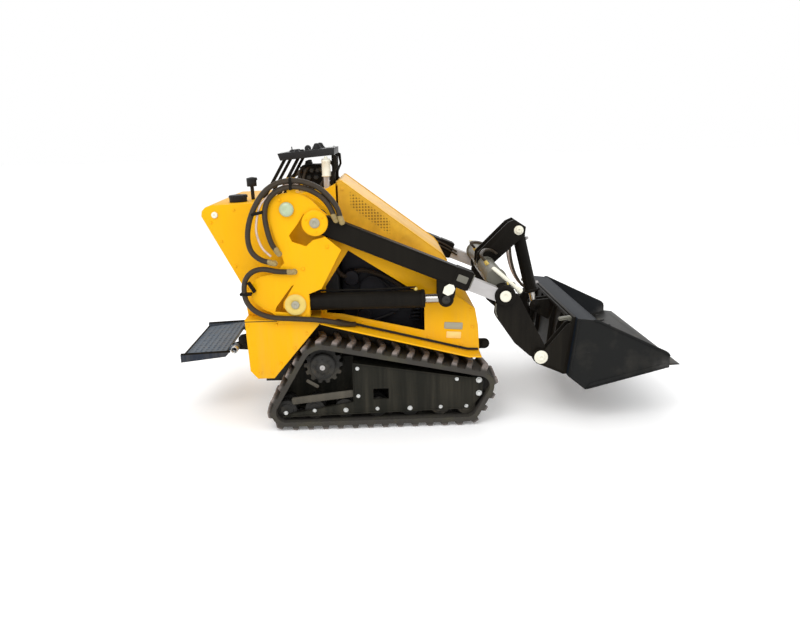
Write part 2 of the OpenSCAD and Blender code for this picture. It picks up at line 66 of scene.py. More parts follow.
# shader maths
class Wire:
    # a socket that takes part in sums: a + b, 1 - a, a * 3 and a ** 2 add Math nodes
    def __init__(self, finish, socket):
        self.finish, self.socket = finish, socket

    def sum(self, operation, a, b=0.0):
        return self.finish.node("ShaderNodeMath", {0: a, 1: b}, operation=operation)

    def over(self, edge, soft):
        # 0 below edge, 1 above edge + soft, straight between
        return self.finish.node("ShaderNodeMapRange", {0: self, 1: edge, 2: edge + soft}, clamp=True)

    def between(self, low, high, soft):
        return self.over(low, soft) * (1 - self.over(high - soft, soft))


signs = {"add": "ADD", "sub": "SUBTRACT", "mul": "MULTIPLY", "truediv": "DIVIDE", "pow": "POWER"}
for sign, way in signs.items():
    # a + b, and b + a where b is a plain number
    setattr(Wire, f"__{sign}__", lambda a, b, way=way: a.sum(way, a, b))
    setattr(Wire, f"__r{sign}__", lambda a, b, way=way: a.sum(way, b, a))
for name, way in {"wave": "SINE", "part": "FRACT", "size": "ABSOLUTE"}.items():
    setattr(Wire, name, lambda a, way=way: a.sum(way, a))


class Finish:
    # one material: node() adds any node, done() joins what varies to the surface
    def __init__(self, name):
        self.material = bpy.data.materials.new(name)
        self.material.use_nodes = True
        self.tree = self.material.node_tree
        self.place = self.node("ShaderNodeTexCoord", {}, out="Object")
        split = self.node("ShaderNodeSeparateXYZ", {0: self.place}).socket.node
        self.x, self.y, self.z = (Wire(self, socket) for socket in split.outputs)

    def feed(self, socket, value):
        # a link for what varies, the socket's own value for a constant
        if isinstance(value, Wire):
            self.tree.links.new(value.socket, socket)
        else:
            socket.default_value = value

    def node(self, kind, values, out=0, **settings):
        made = self.tree.nodes.new(kind)
        for key, value in settings.items():
            setattr(made, key, value)
        for key, value in values.items():
            self.feed(made.inputs[key], value)
        return Wire(self, made.outputs[out])

    def noise(self, scale, detail=3.0, rough=0.5, at=None, warp=0.0):
        return self.node("ShaderNodeTexNoise", {"Vector": at or self.place, "Scale": scale, "Detail": detail,
                                                "Roughness": rough, "Distortion": warp})

    def stretch(self, scales, turn=(0, 0, 0)):
        # the object's place with each axis scaled, for grain and streaks
        return self.node("ShaderNodeMapping", {"Vector": self.place, "Scale": scales, "Rotation": turn})

    def blend(self, amount, a, b):
        # a where amount is 0, b where it is 1; a and b are colours
        a, b = (value if isinstance(value, Wire) else (*value, 1) for value in (a, b))
        return self.node("ShaderNodeMix", {0: amount, 6: a, 7: b}, out=2, data_type="RGBA")

    def bump(self, height, depth, strength):
        return self.node("ShaderNodeBump", {"Height": height, "Distance": depth, "Strength": strength})

    def done(self, **values):
        for key, value in values.items():
            self.feed(self.tree.nodes["Principled BSDF"].inputs[key.replace("_", " ")], value)
        return self.material


dust = (0.30, 0.26, 0.19)   # dry pale soil


def paintFinish(name, colour, deep, rough, dusty, chipped, clouds=2.2, shine=0.35, under=(0.12, 0.11, 0.10),
                **look):
    # colour = paint, deeper in slow clouds, dust rising from the ground, chips where a warped noise peaks
    f = Finish(name)
    cloud = f.noise(clouds, 4).over(0.35, 0.45) * look.get("cloudy", 0.5)
    fine = f.noise(70, 3, 0.6)
    streaks = f.noise(1.0, 5, 0.6, at=f.stretch((26, 26, 1.6)))
    low = 1 - f.z.over(0.15, 0.55)
    soil = (low * 0.7 + 0.08) * streaks.over(0.4, 0.4) * dusty
    chips = f.noise(9, 8, 0.72, warp=1.2).over(look.get("chipEdge", 0.7), 0.02) * chipped
    relief = f.noise(260, 2, 0.5) * 0.4 + f.noise(5, 2) * look.get("wavy", 2.0)
    base = f.blend(cloud, colour, deep)
    if "holes" in look:
        # round holes on a square pitch, inside a soft-edged patch of the panel
        h = look["holes"]
        gapX, gapZ = (f.x / h["pitch"]).part() - 0.5, (f.z / h["pitch"]).part() - 0.5
        ring = (gapX * gapX + gapZ * gapZ) ** 0.5
        line = f.z + f.x * h["slope"]
        patch = f.x.between(h["from"], h["to"], 0.01) * line.between(h["low"], h["high"], 0.01)
        hole = (1 - ring.over(0.26, 0.08)) * patch
        stain = f.noise(24, 4, 0.6).over(0.4, 0.3) * f.x.between(h["from"] - 0.05, h["to"] + 0.18, 0.08)
        base = f.blend(hole * 0.7, f.blend(stain * 0.3, base, h["stain"]), h["shade"])
        relief = relief - hole * 6
    if "lip" in look:
        base = f.blend(f.y.size().over(look["lip"], 0.003) * 0.85, base, look["lipColour"])
    base = f.blend(chips, f.blend(soil, base, dust), under)
    return f.done(Base_Color=base, Roughness=rough + soil * 0.4 + (fine - 0.5) * 0.1 + chips * 0.2,
                  Normal=f.bump(relief, 0.0012, 0.3), Coat_Weight=look.get("coat", 0.0), Coat_Roughness=0.15,
                  Specular_IOR_Level=shine)


def rubberFinish(name, colour, soil, rough, dusty, shine, braid=0):
    # colour = near black, pale soil rubbed into it by two noises, thicker towards the ground
    f = Finish(name)
    rub = f.noise(14, 6, 0.65).over(0.42, 0.3)
    specks = f.noise(160, 4, 0.7).over(0.55, 0.16)
    low = 1 - f.z.over(0.02, 0.5)
    rubbed = (rub * 0.5 + specks * 0.35) * (0.25 + low * 0.55) * dusty
    relief = specks + rub * 2
    if braid:
        # two crossed waves along the hose make its woven cover
        relief = relief + ((f.x + f.z) * braid).wave() * 1.5 + ((f.x - f.z) * braid).wave() * 1.5
    return f.done(Base_Color=f.blend(rubbed, colour, soil), Roughness=rough + rubbed * 0.3,
                  Normal=f.bump(relief, 0.0012, 0.4), Specular_IOR_Level=shine)


def treadFinish(name, colour, worn, soil):
    # the mesh carries rise: 0 on the belt, 1 on a lug's top, which is rubbed pale; gaps hold dark soil
    f = Finish(name)
    rise = f.node("ShaderNodeAttribute", {}, out=2, attribute_name="rise")
    grit, broad, fine = f.noise(55, 5, 0.7), f.noise(9, 4, 0.6), f.noise(240, 3, 0.6)
    rubbed = rise.over(0.35, 0.5) * (grit.over(0.3, 0.35) * 0.55 + broad.over(0.3, 0.3) * 0.45)
    packed = (1 - rise.over(0.05, 0.3)) * broad.over(0.45, 0.25) * 0.5
    return f.done(Base_Color=f.blend(packed, f.blend(rubbed, colour, worn), soil),
                  Roughness=0.7 + rubbed * 0.15, Normal=f.bump(fine + grit * 2, 0.0016, 0.5),
                  Specular_IOR_Level=0.12)


def bareSteel(name, colour, deep, rough, stained, metal, grain, stains=9):
    # brushed metal: a fine noise bends the shine, darker rings of oil here and there
    f = Finish(name)
    brushed = f.noise(1, 4, 0.6, at=f.stretch([grain] * 3))
    stain = f.noise(stains, 5, 0.6).over(0.5, 0.25)
    return f.done(Base_Color=f.blend(stain * stained, colour, deep), Metallic=metal,
                  Roughness=rough + brushed * 0.12 + stain * 0.12, Normal=f.bump(brushed, 0.0003, 0.3))


def castFinish(name, colour, deep, rough, dusty, metal, pits=180):
    # cast or sooty metal: pitted bump from a fine cell pattern, grease in slow clouds
    f = Finish(name)
    cells = f.node("ShaderNodeTexVoronoi", {"Vector": f.place, "Scale": pits})
    clouds = f.noise(5, 5, 0.6)
    low = 1 - f.z.over(0.05, 0.6)
    soil = clouds.over(0.5, 0.2) * dusty * (0.3 + low * 0.7)
    return f.done(Base_Color=f.blend(soil, f.blend(clouds, colour, deep), dust), Metallic=metal,
                  Roughness=rough + soil * 0.3, Normal=f.bump(cells, 0.001, 0.35), Specular_IOR_Level=0.15)


def bucketFinish(name, colour, brown, soil, steel):
    # blue-black paint whose blue is a painted sky reflection, browner on the side plates, fine scuffs along
    # the digging line, bare steel at the tip
    f = Finish(name)
    scuff = f.noise(1, 7, 0.7, at=f.stretch((6, 30, 60), turn=(0, 0.24, 0)))
    worn, fine = f.noise(6, 6, 0.65), f.noise(190, 3, 0.6)
    tip = f.x.over(1.08, 0.12) * (1 - f.z.over(0.28, 0.06))
    # outer marks the side plates, where the painted sky blue gives way to brown
    outer = f.y.size().over(0.525, 0.01)
    bare = scuff.over(0.66, 0.1) * 0.16 + tip * worn.over(0.45, 0.25) * 0.4
    soiled = worn.over(0.5, 0.3) * (0.12 + outer * 0.25)
    base = f.blend(bare, f.blend(soiled, f.blend(outer * 0.75, colour, brown), soil), steel)
    return f.done(Base_Color=base, Metallic=bare * 0.7, Roughness=0.55 + soiled * 0.3 - bare * 0.1,
                  Normal=f.bump(scuff * 0.6 + worn + fine * 0.3, 0.001, 0.35), Specular_IOR_Level=0.08)


# paints: colour, deeper colour, roughness, dust, chips, and then cloud scale, shine and what a chip lays bare
# steels: colour, colour of the stains, roughness, stain, metal, grain
finishes = {
    "yellow_paint": paintFinish("yellowPaint", (0.80, 0.405, 0.003), (0.72, 0.34, 0.003), 0.38, 0.3, 0.35,
        coat=0.04, shine=0.08),
    "black_paint": paintFinish("blackPaint", (0.007, 0.006, 0.005), (0.014, 0.012, 0.008), 0.5, 0.08, 0.25,
        shine=0.06, under=(0.10, 0.09, 0.07)),
    "grey_paint": paintFinish("greyPaint", (0.15, 0.145, 0.12), (0.08, 0.08, 0.065), 0.4, 0.3, 0.5, 9,
        0.15),
    "pale_metal": paintFinish("paleMetal", (0.44, 0.425, 0.42), (0.30, 0.285, 0.28), 0.36, 0.2, 0.55, 8,
        0.2, (0.16, 0.15, 0.14)),
    "track_steel": paintFinish("trackSteel", (0.012, 0.012, 0.009), (0.022, 0.020, 0.016), 0.46, 0.12, 0.4,
        5, 0.08, (0.06, 0.055, 0.045), chipEdge=0.66),
    # the platform's blue-grey colours are a painted reflection of the sky on a dark mat; its lips are near
    # black
    "platform_grey": paintFinish("platformGreyPaintedSky", (0.088, 0.116, 0.155), (0.05, 0.068, 0.095), 0.5, 0.4, 0.6,
        12, 0.12, (0.30, 0.30, 0.30), chipEdge=0.62, lip=0.306, lipColour=(0.012, 0.014, 0.022)),
    # the bucket's blue tint is a painted reflection of the sky
    "bucket_paint": bucketFinish("bucketPaintPaintedSky", (0.006, 0.009, 0.014), brown=(0.014, 0.0135, 0.0115),
        soil=(0.065, 0.058, 0.048), steel=(0.32, 0.31, 0.30)),
    "dark_steel": castFinish("darkSteel", (0.018, 0.018, 0.018), (0.04, 0.038, 0.034), 0.5, 0.3, 0.25),
    "engine": castFinish("engineMetal", (0.006, 0.006, 0.007), (0.020, 0.020, 0.026), 0.45, 0.03, 0.2,
        pits=120),
    "track_rubber": treadFinish("trackRubber", (0.046, 0.042, 0.037), worn=(0.31, 0.265, 0.245),
        soil=(0.075, 0.070, 0.04)),
    "hose": rubberFinish("hoseRubber", (0.028, 0.019, 0.010), (0.20, 0.12, 0.05), 0.4, 0.6, 0.3,
        braid=1400),
    "black_plastic": rubberFinish("blackPlastic", (0.016, 0.016, 0.017), dust, 0.42, 0.12, 0.15),
    "rod_chrome": bareSteel("rodChrome", (0.42, 0.40, 0.37), (0.24, 0.21, 0.17), 0.16, 0.3, 1.0, 300),
}
vents = {
    "pitch": 0.0145, "from": -0.345, "to": -0.15, "slope": 0.76, "low": 0.792, "high": 0.872,
    "stain": (0.33, 0.17, 0.02), "shade": (0.05, 0.03, 0.01),
}
hoodPaint = "yellow_paint", paintFinish("hoodPaint", (0.76, 0.42, 0.03), (0.58, 0.30, 0.03), 0.42, 0.1, 0.25,
                                        7, 0.15, cloudy=0.9, wavy=4.0, holes=vents)


def onPale(name, *look, **more):
    # a paint that stands in the pale metal's slot
    return "pale_metal", paintFinish(name, *look, **more)


paleZinc = onPale("paleZinc", (0.66, 0.50, 0.14), (0.50, 0.34, 0.06), 0.32, 0.1, 0.3, 20, 0.2)
hoseBrass = onPale("hoseBrass", (0.30, 0.22, 0.08), (0.10, 0.07, 0.03), 0.3, 0.2, 0.4, 24, 0.4)
greenZinc = onPale("greenZinc", (0.42, 0.50, 0.33), (0.24, 0.30, 0.16), 0.28, 0.1, 0.2, 25, coat=0.4)
creamCap = onPale("creamCap", (0.80, 0.78, 0.66), (0.60, 0.56, 0.42), 0.35, 0.15, 0.4, 18)
blankPlate = onPale("blankPlate", (0.34, 0.32, 0.24), (0.26, 0.24, 0.17), 0.3, 0.2, 0.2, 15, coat=0.3)
palePlate = onPale("palePlate", (0.90, 0.62, 0.22), (0.86, 0.56, 0.16), 0.4, 0.1, 0.2, 15)
strapPaint = "grey_paint", paintFinish("strapPaint", (0.075, 0.068, 0.055), (0.045, 0.042, 0.034), 0.5, 0.2,
                                       0.6, 16, 0.1)
boltZinc = "pale_metal", bareSteel("boltZinc", (0.62, 0.63, 0.62), (0.30, 0.29, 0.27), 0.3, 0.6, 0.85, 200,
                                   stains=40)
# pale pinkish steel; on the pipe between the tower hoses its pale colour is a painted highlight
pipeFinish = "pale_metal", bareSteel("pipeFinish", (0.62, 0.48, 0.40), (0.30, 0.20, 0.14), 0.32, 0.5, 0.5,
                                     150, stains=30)
slotOf = {s["node"]: s["material_slot"] for s in frame["record"]["subparts"]}
for name, item in nodes.items():
    item.data.materials.clear()
    item.data.materials.append(finishes[slotOf[name]])
print("materials:", len(bpy.data.materials))


# surfaces: each maker gives points in metres and faces, which addPiece puts on a body
def metres(table):
    return np.array(table, float) / 1000


def linked(name, data):
    item = bpy.data.objects.new(name, data)
    scene.collection.objects.link(item)
    return item


def rounded(item, width):
    # edges sharper than 35 degrees get a bevel of two steps, its width in millimetres
    edge = item.modifiers.new("edge", "BEVEL")
    edge.width, edge.segments, edge.harden_normals = width / 1000, 2, True
    edge.limit_method, edge.angle_limit = "ANGLE", math.radians(35)


def addPiece(name, shape, look, body="chassis", soft=0, hard=None, carries=None):
    # a mesh from a table of points and a table of faces, carried by a body
    # look: a slot's name, or a slot and a material; soft: a smooth piece's bevel, hard: a flat-shaded one's
    points, faces = shape
    slotName, material = (look, finishes[look]) if isinstance(look, str) else look
    mesh = bpy.data.meshes.new(name)
    mesh.from_pydata(points.tolist(), [], faces)
    for key, values in (carries or {}).items():
        mesh.attributes.new(key, "FLOAT", "POINT").data.foreach_set("value", np.float32(values).ravel())
    mesh.validate()
    shade = mesh.shade_smooth if hard is None else mesh.shade_flat
    shade()
    mesh.materials.append(material)
    item = linked(name, mesh)
    if soft or hard:
        rounded(item, soft or hard)
    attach(item, body)
    return item


def addPair(name, shape, look, body="chassis", node=None, suffix="", **more):
    # the right side's piece as drawn, then its mirror image; {} in the body's name stands for the side
    points, faces = shape
    mirrored = points * [1, -1, 1], [face[::-1] for face in faces]
    for side, each in (("right", shape), ("left", mirrored)):
        piece = addPiece(name + "_" + side + suffix, each, look, body.format(side), **more)
        if node:
            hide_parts(node + "_" + side)


def tubeFaces(rows, count, closed=False):
    # the quads between the points of a stack of rings, and a flat face at each end of an open stack
    i, j = np.meshgrid(np.arange(rows if closed else rows - 1), np.arange(count), indexing="ij")
    beside, above = (j + 1) % count, (i + 1) % rows * count
    quads = np.stack([i * count + j, i * count + beside, above + beside, above + j], -1).reshape(-1, 4)
    ends = [] if closed else [list(range(count))[::-1], list(range((rows - 1) * count, rows * count))]
    return quads.tolist() + ends


def joined(*shapes):
    # several shapes as one: each one's faces count on from the points before it
    starts = np.cumsum([0] + [len(points) for points, faces in shapes[:-1]]).tolist()
    faces = [[v + start for v in face] for shape, start in zip(shapes, starts) for face in shape[1]]
    return np.vstack([points for points, each in shapes]), faces


def around(count):
    # evenly spaced angles of a full turn
    return np.linspace(0, 2 * np.pi, count, endpoint=False)


def turned(profile, steps=24):
    # radius and height pairs in millimetres carried round the Z axis
    r, h = metres(profile).T[:, :, None]
    angle = around(steps)
    points = np.stack([r * np.cos(angle), r * np.sin(angle), np.repeat(h, steps, axis=1)], -1)
    return points.reshape(-1, 3), tubeFaces(len(r), steps)


def aimed(shape, spots, axis=(0, -1, 0)):
    # copies of a shape with their Z turned to axis, one at each spot
    points, faces = shape
    z = np.array(axis, float) / np.linalg.norm(axis)
    side = np.cross([0, 0, 1.0] if abs(z[2]) < 0.9 else [0, 1.0, 0], z)
    side = side / np.linalg.norm(side)
    placed = points @ np.stack([side, np.cross(z, side), z]) + metres(spots).reshape(-1, 1, 3)
    starts = range(0, len(points) * len(placed), len(points))
    return placed.reshape(-1, 3), [[v + start for v in face] for start in starts for face in faces]


def disc(profile, steps, spots, axis=(0, -1, 0)):
    # a turned shape at each spot
    return aimed(turned(profile, steps), spots, axis)


def swept(path, radius, count):
    # a round section carried along a path in metres, kept square to it
    run = np.gradient(path, axis=0)
    run = run / np.linalg.norm(run, axis=1, keepdims=True)
    side = np.cross(run, [0.02, 1.0, 0.03] if abs(run[:, 1]).max() < 0.95 else [1.0, 0.02, 0.03])
    side = (side / np.linalg.norm(side, axis=1, keepdims=True))[:, None]
    other = np.cross(run[:, None], side)
    angle = around(count)[:, None]
    points = path[:, None] + np.reshape(radius, (-1, 1, 1)) * (np.cos(angle) * side + np.sin(angle) * other)
    return points.reshape(-1, 3), tubeFaces(len(path), count)


def curveThrough(points, steps=8):
    # a Catmull-Rom curve in metres through points in millimetres: each stretch leans on its neighbours
    p = metres(points)
    p = np.vstack([2 * p[0] - p[1], p, 2 * p[-1] - p[-2]])
    t = np.linspace(0, 1, steps, endpoint=False)[None, :, None]
    a, b, c, d = (p[k:len(p) - 3 + k, None] for k in range(4))
    line = 2 * b + (c - a) * t + (2 * a - 5 * b + 4 * c - d) * t ** 2 + (3 * b - a - 3 * c + d) * t ** 3
    return np.vstack([line.reshape(-1, 3) / 2, p[-2]])


def tube(points, radius, count=12, steps=8):
    # a hose or pipe on a smooth curve, in millimetres
    return swept(curveThrough(points, steps), radius / 1000, count)


def rod(points, radius, count=8):
    # a round bar with straight stretches, in millimetres
    return swept(metres(points), radius / 1000, count)


def bead(y, places, r):
    # a weld along side-view places: its radius swells and shrinks by a quarter at each ripple
    path = curveThrough(atDepth(y, places), 6)
    return swept(path, metres(r) * (1 + 0.25 * np.sin(np.arange(len(path)) * 2.1)), 6)


def plateOf(outline, low, high):
    # an XZ outline in millimetres carried along Y from low to high
    flat = metres(outline)
    after = np.roll(flat, -1, axis=0)
    if np.sum(flat[:, 0] * after[:, 1] - after[:, 0] * flat[:, 1]) < 0:
        flat = flat[::-1]
    ends = [np.insert(flat, 1, y / 1000, axis=1) for y in (low, high)]
    return np.vstack(ends), [face[::-1] for face in tubeFaces(2, len(flat))]


def platesAt(outline, half, places):
    # the same plate at several places along Y
    return joined(*[plateOf(outline, y - half, y + half) for y in places])


def pad(low, high, corner, soft, axis="y"):
    # a rounded rectangle between two opposite corners, carried along an axis and drawn in by soft at its ends
    order = {"x": (1, 2, 0), "y": (2, 0, 1), "z": (0, 1, 2)}[axis]
    a, b = metres([low, high])[:, order]
    corner, soft = corner / 1000, soft / 1000
    angle = np.concatenate([np.linspace(k, k + 1, 5) for k in range(4)]) * np.pi / 2
    way = np.stack([np.cos(angle), np.sin(angle)], -1) * corner
    centre, half = (a + b)[:2] / 2, (b - a)[:2] / 2 - corner
    towards = np.repeat([[1, 1], [-1, 1], [-1, -1], [1, -1]], 5, axis=0)
    rows = [np.column_stack([centre + towards * (half - inset) + way, np.full(20, height)])
            for height, inset in ((a[2], soft), (a[2] + soft, 0), (b[2] - soft, 0), (b[2], soft))]
    return np.vstack(rows)[:, np.argsort(order)], tubeFaces(4, 20)


def leaned(shape, pivot, degrees):
    # the shape turned in the side view about a point, nose up for positive degrees
    points, faces = shape
    c, s = math.cos(math.radians(degrees)), math.sin(math.radians(degrees))
    centre = metres([pivot[0], 0, pivot[1]])
    return (points - centre) @ np.array([[c, 0, s], [0, 1, 0], [-s, 0, c]]) + centre, faces


def atDepth(y, places):
    # side-view places [x, z] as points at one y
    return [[x, y, z] for x, z in places]


def bolt(r, h):
    # a washer with a six-sided head and a rounded top
    return joined(turned([(r * 1.35, 0), (r * 1.35, 1.4), (r * 1.2, 1.9)], 14),
                  turned([(r, 1.5), (r, h - 1), (r * 0.86, h)], 6))


def cap(r, h, dimple=0.35):
    # a domed cover with a chamfered rim and a dimple in the middle
    inner = r * dimple
    return turned([(r, 0), (r, h * 0.45), (r * 0.93, h * 0.8), (inner + r * 0.12, h), (inner, h * 0.96),
                   (inner * 0.8, h * 0.55), (r * 0.02, h * 0.5)], 32)


def softened(name, width):
    # a CAD node's mesh, merged and given rounded edges, shown in its place
    source = nodes[name]
    item = linked(name + "Soft", source.data.copy())
    item.modifiers.new("weld", "WELD").merge_threshold = 0.00002
    flat = item.modifiers.new("flats", "DECIMATE")
    flat.decimate_type, flat.angle_limit = "DISSOLVE", math.radians(1)
    merged = bpy.data.meshes.new_from_object(item.evaluated_get(bpy.context.evaluated_depsgraph_get()))
    item.modifiers.clear()
    item.data = merged
    merged.materials.clear()
    merged.materials.append(hoodPaint[1] if name == "hood_shell" else finishes[slotOf[name]])
    merged.shade_smooth()
    rounded(item, width)
    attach(item, source["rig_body"])
    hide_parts(name)


# bevel widths in millimetres, for both sides' nodes where there are two
edgeWidths = {
    "rear_box": 5, "rear_cowl": 7, "dash": 5, "nose_panel": 2.5, "arm": 3, "arm_end": 3, "track_frame": 2.5,
    "lower_frame": 3, "control_valve": 4, "tank_block": 12, "engine_block": 14, "hood_shell": 1.2,
    "drive": 2, "crossmember": 1.2, "control_levers": 1,
}
madeHere = ("hoses", "track", "rollers")
for name in nodes:
    kind = name.removesuffix("_right").removesuffix("_left")
    if kind not in madeHere:
        softened(name, edgeWidths.get(kind, 1.8))
print("softened:", len(nodes) - 2 * len(madeHere))


# the tracks: a belt carried round its four wheels, [x, z, radius to the belt's outer face]
track = {
    "wheels": [[-682, 92, 70], [196, 92, 70], [255, 200, 74], [-496, 313, 116]], "pitch": 72, "inner": 320,
    "outer": 520, "lug": 22, "belt": 22, "guide": 8, "rim": 3, "stagger": 9,
}
wheels = metres(track["wheels"])
following = np.roll(wheels, -1, axis=0)
gap, growth = following[:, :2] - wheels[:, :2], following[:, 2] - wheels[:, 2]
gapLength = np.hypot(*gap.T)
runWay = np.arctan2(gap[:, 1], gap[:, 0]) - np.arcsin(growth / gapLength)
runLength = np.sqrt(gapLength ** 2 - growth ** 2)
wayIn = np.roll(runWay, 1)
arcTurn = (runWay - wayIn) % (2 * np.pi)
arcLength = arcTurn * wheels[:, 2]
legEnds = np.cumsum(arcLength + runLength)
lugCount = round(legEnds[-1] / (track["pitch"] / 1000))


def onBelt(s, out):
    # along the loop: round wheel i while s is inside its arc, then straight on, moved outwards by out
    s = np.mod(s, legEnds[-1])
    i = np.searchsorted(legEnds, s, side="right")
    rest = s - (legEnds - arcLength - runLength)[i]
    straight = np.maximum(rest - arcLength[i], 0)
    way = wayIn[i] + np.minimum(rest / arcLength[i], 1) * arcTurn[i]
    r = wheels[i, 2] + out
    return (wheels[i, 0] + r * np.sin(way) + straight * np.cos(way),
            wheels[i, 1] - r * np.cos(way) + straight * np.sin(way))


def trackSurface():
    # rows follow the belt, columns go once round its section; out = lug height outside, guide teeth inside
    marks = metres([-17, -13, -11, 0, 11, 13, 17, 26, 33, 40, 47])
    lugHeight = np.tile([0, 0.72, 1, 1, 1, 0.72, 0, 0, 0, 0, 0], lugCount)[:, None]
    toothHeight = np.tile([0, 0, 0, 0, 0, 0, 0, 0.9, 1, 0.9, 0], lugCount)[:, None]
    s = ((np.arange(lugCount)[:, None] + 0.5) * legEnds[-1] / lugCount + marks).reshape(-1, 1)
    across = np.array([0, 0, 5, 14, 60, 92, 96, 104, 108, 140, 186, 195, 200,
                       200, 200, 186, 118, 112, 88, 82, 14, 0])
    outside = np.array([0, .6, .85, 1, 1, 1, .7, .7, 1, 1, 1, .85, .6] + [0] * 9)
    column = np.arange(len(across))
    inside, teeth, rim = column > 13, np.isin(column, (17, 18)), np.isin(column, (0, 13))
    lug, belt, guide, rimDrop = metres([track[key] for key in ("lug", "belt", "guide", "rim")])
    turn = across / (track["outer"] - track["inner"]) * 2 * np.pi
    shift = track["stagger"] / 1000 * np.cos(turn) * (1 - inside)
    out = outside * lugHeight * lug - inside * belt - rim * rimDrop - teeth * toothHeight * guide
    x, z = onBelt(s + shift, out)
    y = np.broadcast_to(-(track["inner"] + across) / 1000, x.shape)
    faces = [face[::-1] for face in tubeFaces(len(s), len(across), closed=True)]
    return np.stack([x, y, z], -1).reshape(-1, 3), faces, np.clip(out / lug, 0, 1)


*surface, rise = trackSurface()
addPair("rubberTrack", surface, "track_rubber", node="track", hard=0, carries={"rise": rise})
print("tracks:", lugCount, "lugs")

# rollers with a groove for the guide teeth, [x, z, radius]
rollers = {
    "face": -346,
    "at": [[-545, 92, 48], [-398, 92, 48], [-239, 92, 48], [-80, 92, 48], [70, 92, 48], [-682, 92, 48],
        [196, 92, 48], [255, 200, 52]],
    "profile": [(0.35, 0), (0.62, 0), (0.66, 3), (1, 6), (1, 46), (0.97, 49), (0.6, 51), (0.58, 74),
        (0.6, 97), (0.97, 99), (1, 102), (1, 126), (0.66, 129), (0.62, 132), (0.35, 132)],
}
row = [disc([(k * r, h) for k, h in rollers["profile"]], 36, [x, rollers["face"], z])
       for x, z, r in rollers["at"]]
addPair("rollers", joined(*row), "dark_steel", node="rollers", suffix="_set", soft=1)
print("rollers:", len(row) * 2)

# how far right of the middle plane the outer faces stand, in millimetres
face = {"track": -494, "frame": -405.5, "box": -513.5, "cowl": -411.5, "tower": -521.5, "hood": -284.5}
# on the track frames and drives: bolts [x, z, head radius], rims, hub cover, strap and link, inner web
trackTrim = {
    "bolts": [[-685, 84, 8], [-545, 92, 7], [-393, 90, 9], [-239, 92, 7], [-80, 90, 9], [70, 92, 7],
        [196, 92, 7], [258, 224, 11], [258, 157, 11], [-330, 300, 7], [-330, 160, 7], [150, 232, 7]],
    "hub": [-496, 313], "hubRing": 42, "hubBolts": 8, "strap": [-549, 228],
    "flange": [[-352, 330], [215, 240], [215, 234], [-352, 323]],
    "low": [[-700, 62], [215, 80], [215, 86], [-700, 68]],
    "web": [[-700, 66], [-684, 48], [-352, 48], [-352, 322], [-560, 312], [-602, 312], [-610, 300],
        [-676.5, 190], [-712, 130]],
}
heads = joined(*[aimed(bolt(r, r * 1.1), [x, face["track"], z]) for x, z, r in trackTrim["bolts"]])
addPair("frameBolts", heads, ("dark_steel", boltZinc[1]), hard=0)
rims = joined(plateOf(trackTrim["flange"], -499, -477), plateOf(trackTrim["low"], -497, -477),
              bead(-495, [[-352, 324], [-352, 260], [-352, 132]], 3))
addPair("frameRims", rims, "track_steel", hard=1)


def roundPlaces(middle, y, r, angles):
    # places on a circle in the side view
    return [[middle[0] + r * math.cos(a), y, middle[1] + r * math.sin(a)] for a in angles]


x, z = trackTrim["hub"]
ring = roundPlaces((x, z), -490, trackTrim["hubRing"], around(trackTrim["hubBolts"]))
cover = disc([(60, 0), (60, 2), (56, 5), (34, 6), (30, 14), (22, 17), (16, 17)], 32, [x, -489, z])
addPair("hubCover", joined(cover, aimed(bolt(6, 7), ring)), "dark_steel")
addPair("hubBolt", aimed(cap(13, 8, 0.3), [x, -505, z]), "pale_metal")
x, z = trackTrim["strap"]
strap = joined(leaned(pad([x - 34, -489, z - 8], [x + 34, -482, z + 8], 7, 1.5), (x, z), -32),
               leaned(pad([-655, -492, 136], [-349, -480, 172], 12, 3), (-530, 154), 6))
addPair("trackStrap", strap, strapPaint)
addPair("frameWeb", plateOf(trackTrim["web"], -346, -338), "track_steel", hard=1.5)
print("track fittings set")

# hoses at the towers: runs [x, z] seen from the right, with how far inwards where one dives behind
hoses = {
    "radius": 12.5, "stands": 534,
    "runs": {"outer": [[-376, 1020], [-392, 1075], [-425, 1125], [-470, 1166], [-530, 1193], [-594, 1202],
        [-658, 1190], [-712, 1156], [-756, 1098], [-789, 1025], [-802, 950], [-790, 888], [-752, 850],
        [-700, 832]], "inner": [[-404, 1030], [-425, 1082], [-462, 1128], [-522, 1162], [-590, 1175],
        [-652, 1160], [-698, 1120], [-718, 1064], [-714, 995], [-697, 925], [-672, 882]],
        "lower": [[-612, 788], [-677, 792], [-740, 804], [-790, 794], [-825, 758], [-836, 705], [-826, 650],
        [-785, 604], [-715, 576], [-610, 566], [-510, 558], [-440, 542, 18], [-380, 518, 60],
        [-335, 506, 100]], "pipe": [[-560, 1183], [-620, 1180], [-683, 1145], [-732, 1101], [-753, 1044],
        [-761, 975], [-740, 904], [-702, 862]], "thin": [[-716, 1150], [-690, 1172], [-663, 1190],
        [-626, 1197], [-600, 1192]]},
}
runs = {key: [[x, sum(deep) - hoses["stands"], z] for x, z, *deep in run]
        for key, run in hoses["runs"].items()}
tubes = [tube(runs[key], hoses["radius"], 14) for key in ("outer", "inner", "lower")]
addPair("hoseSet", joined(*tubes), "hose", node="hoses")
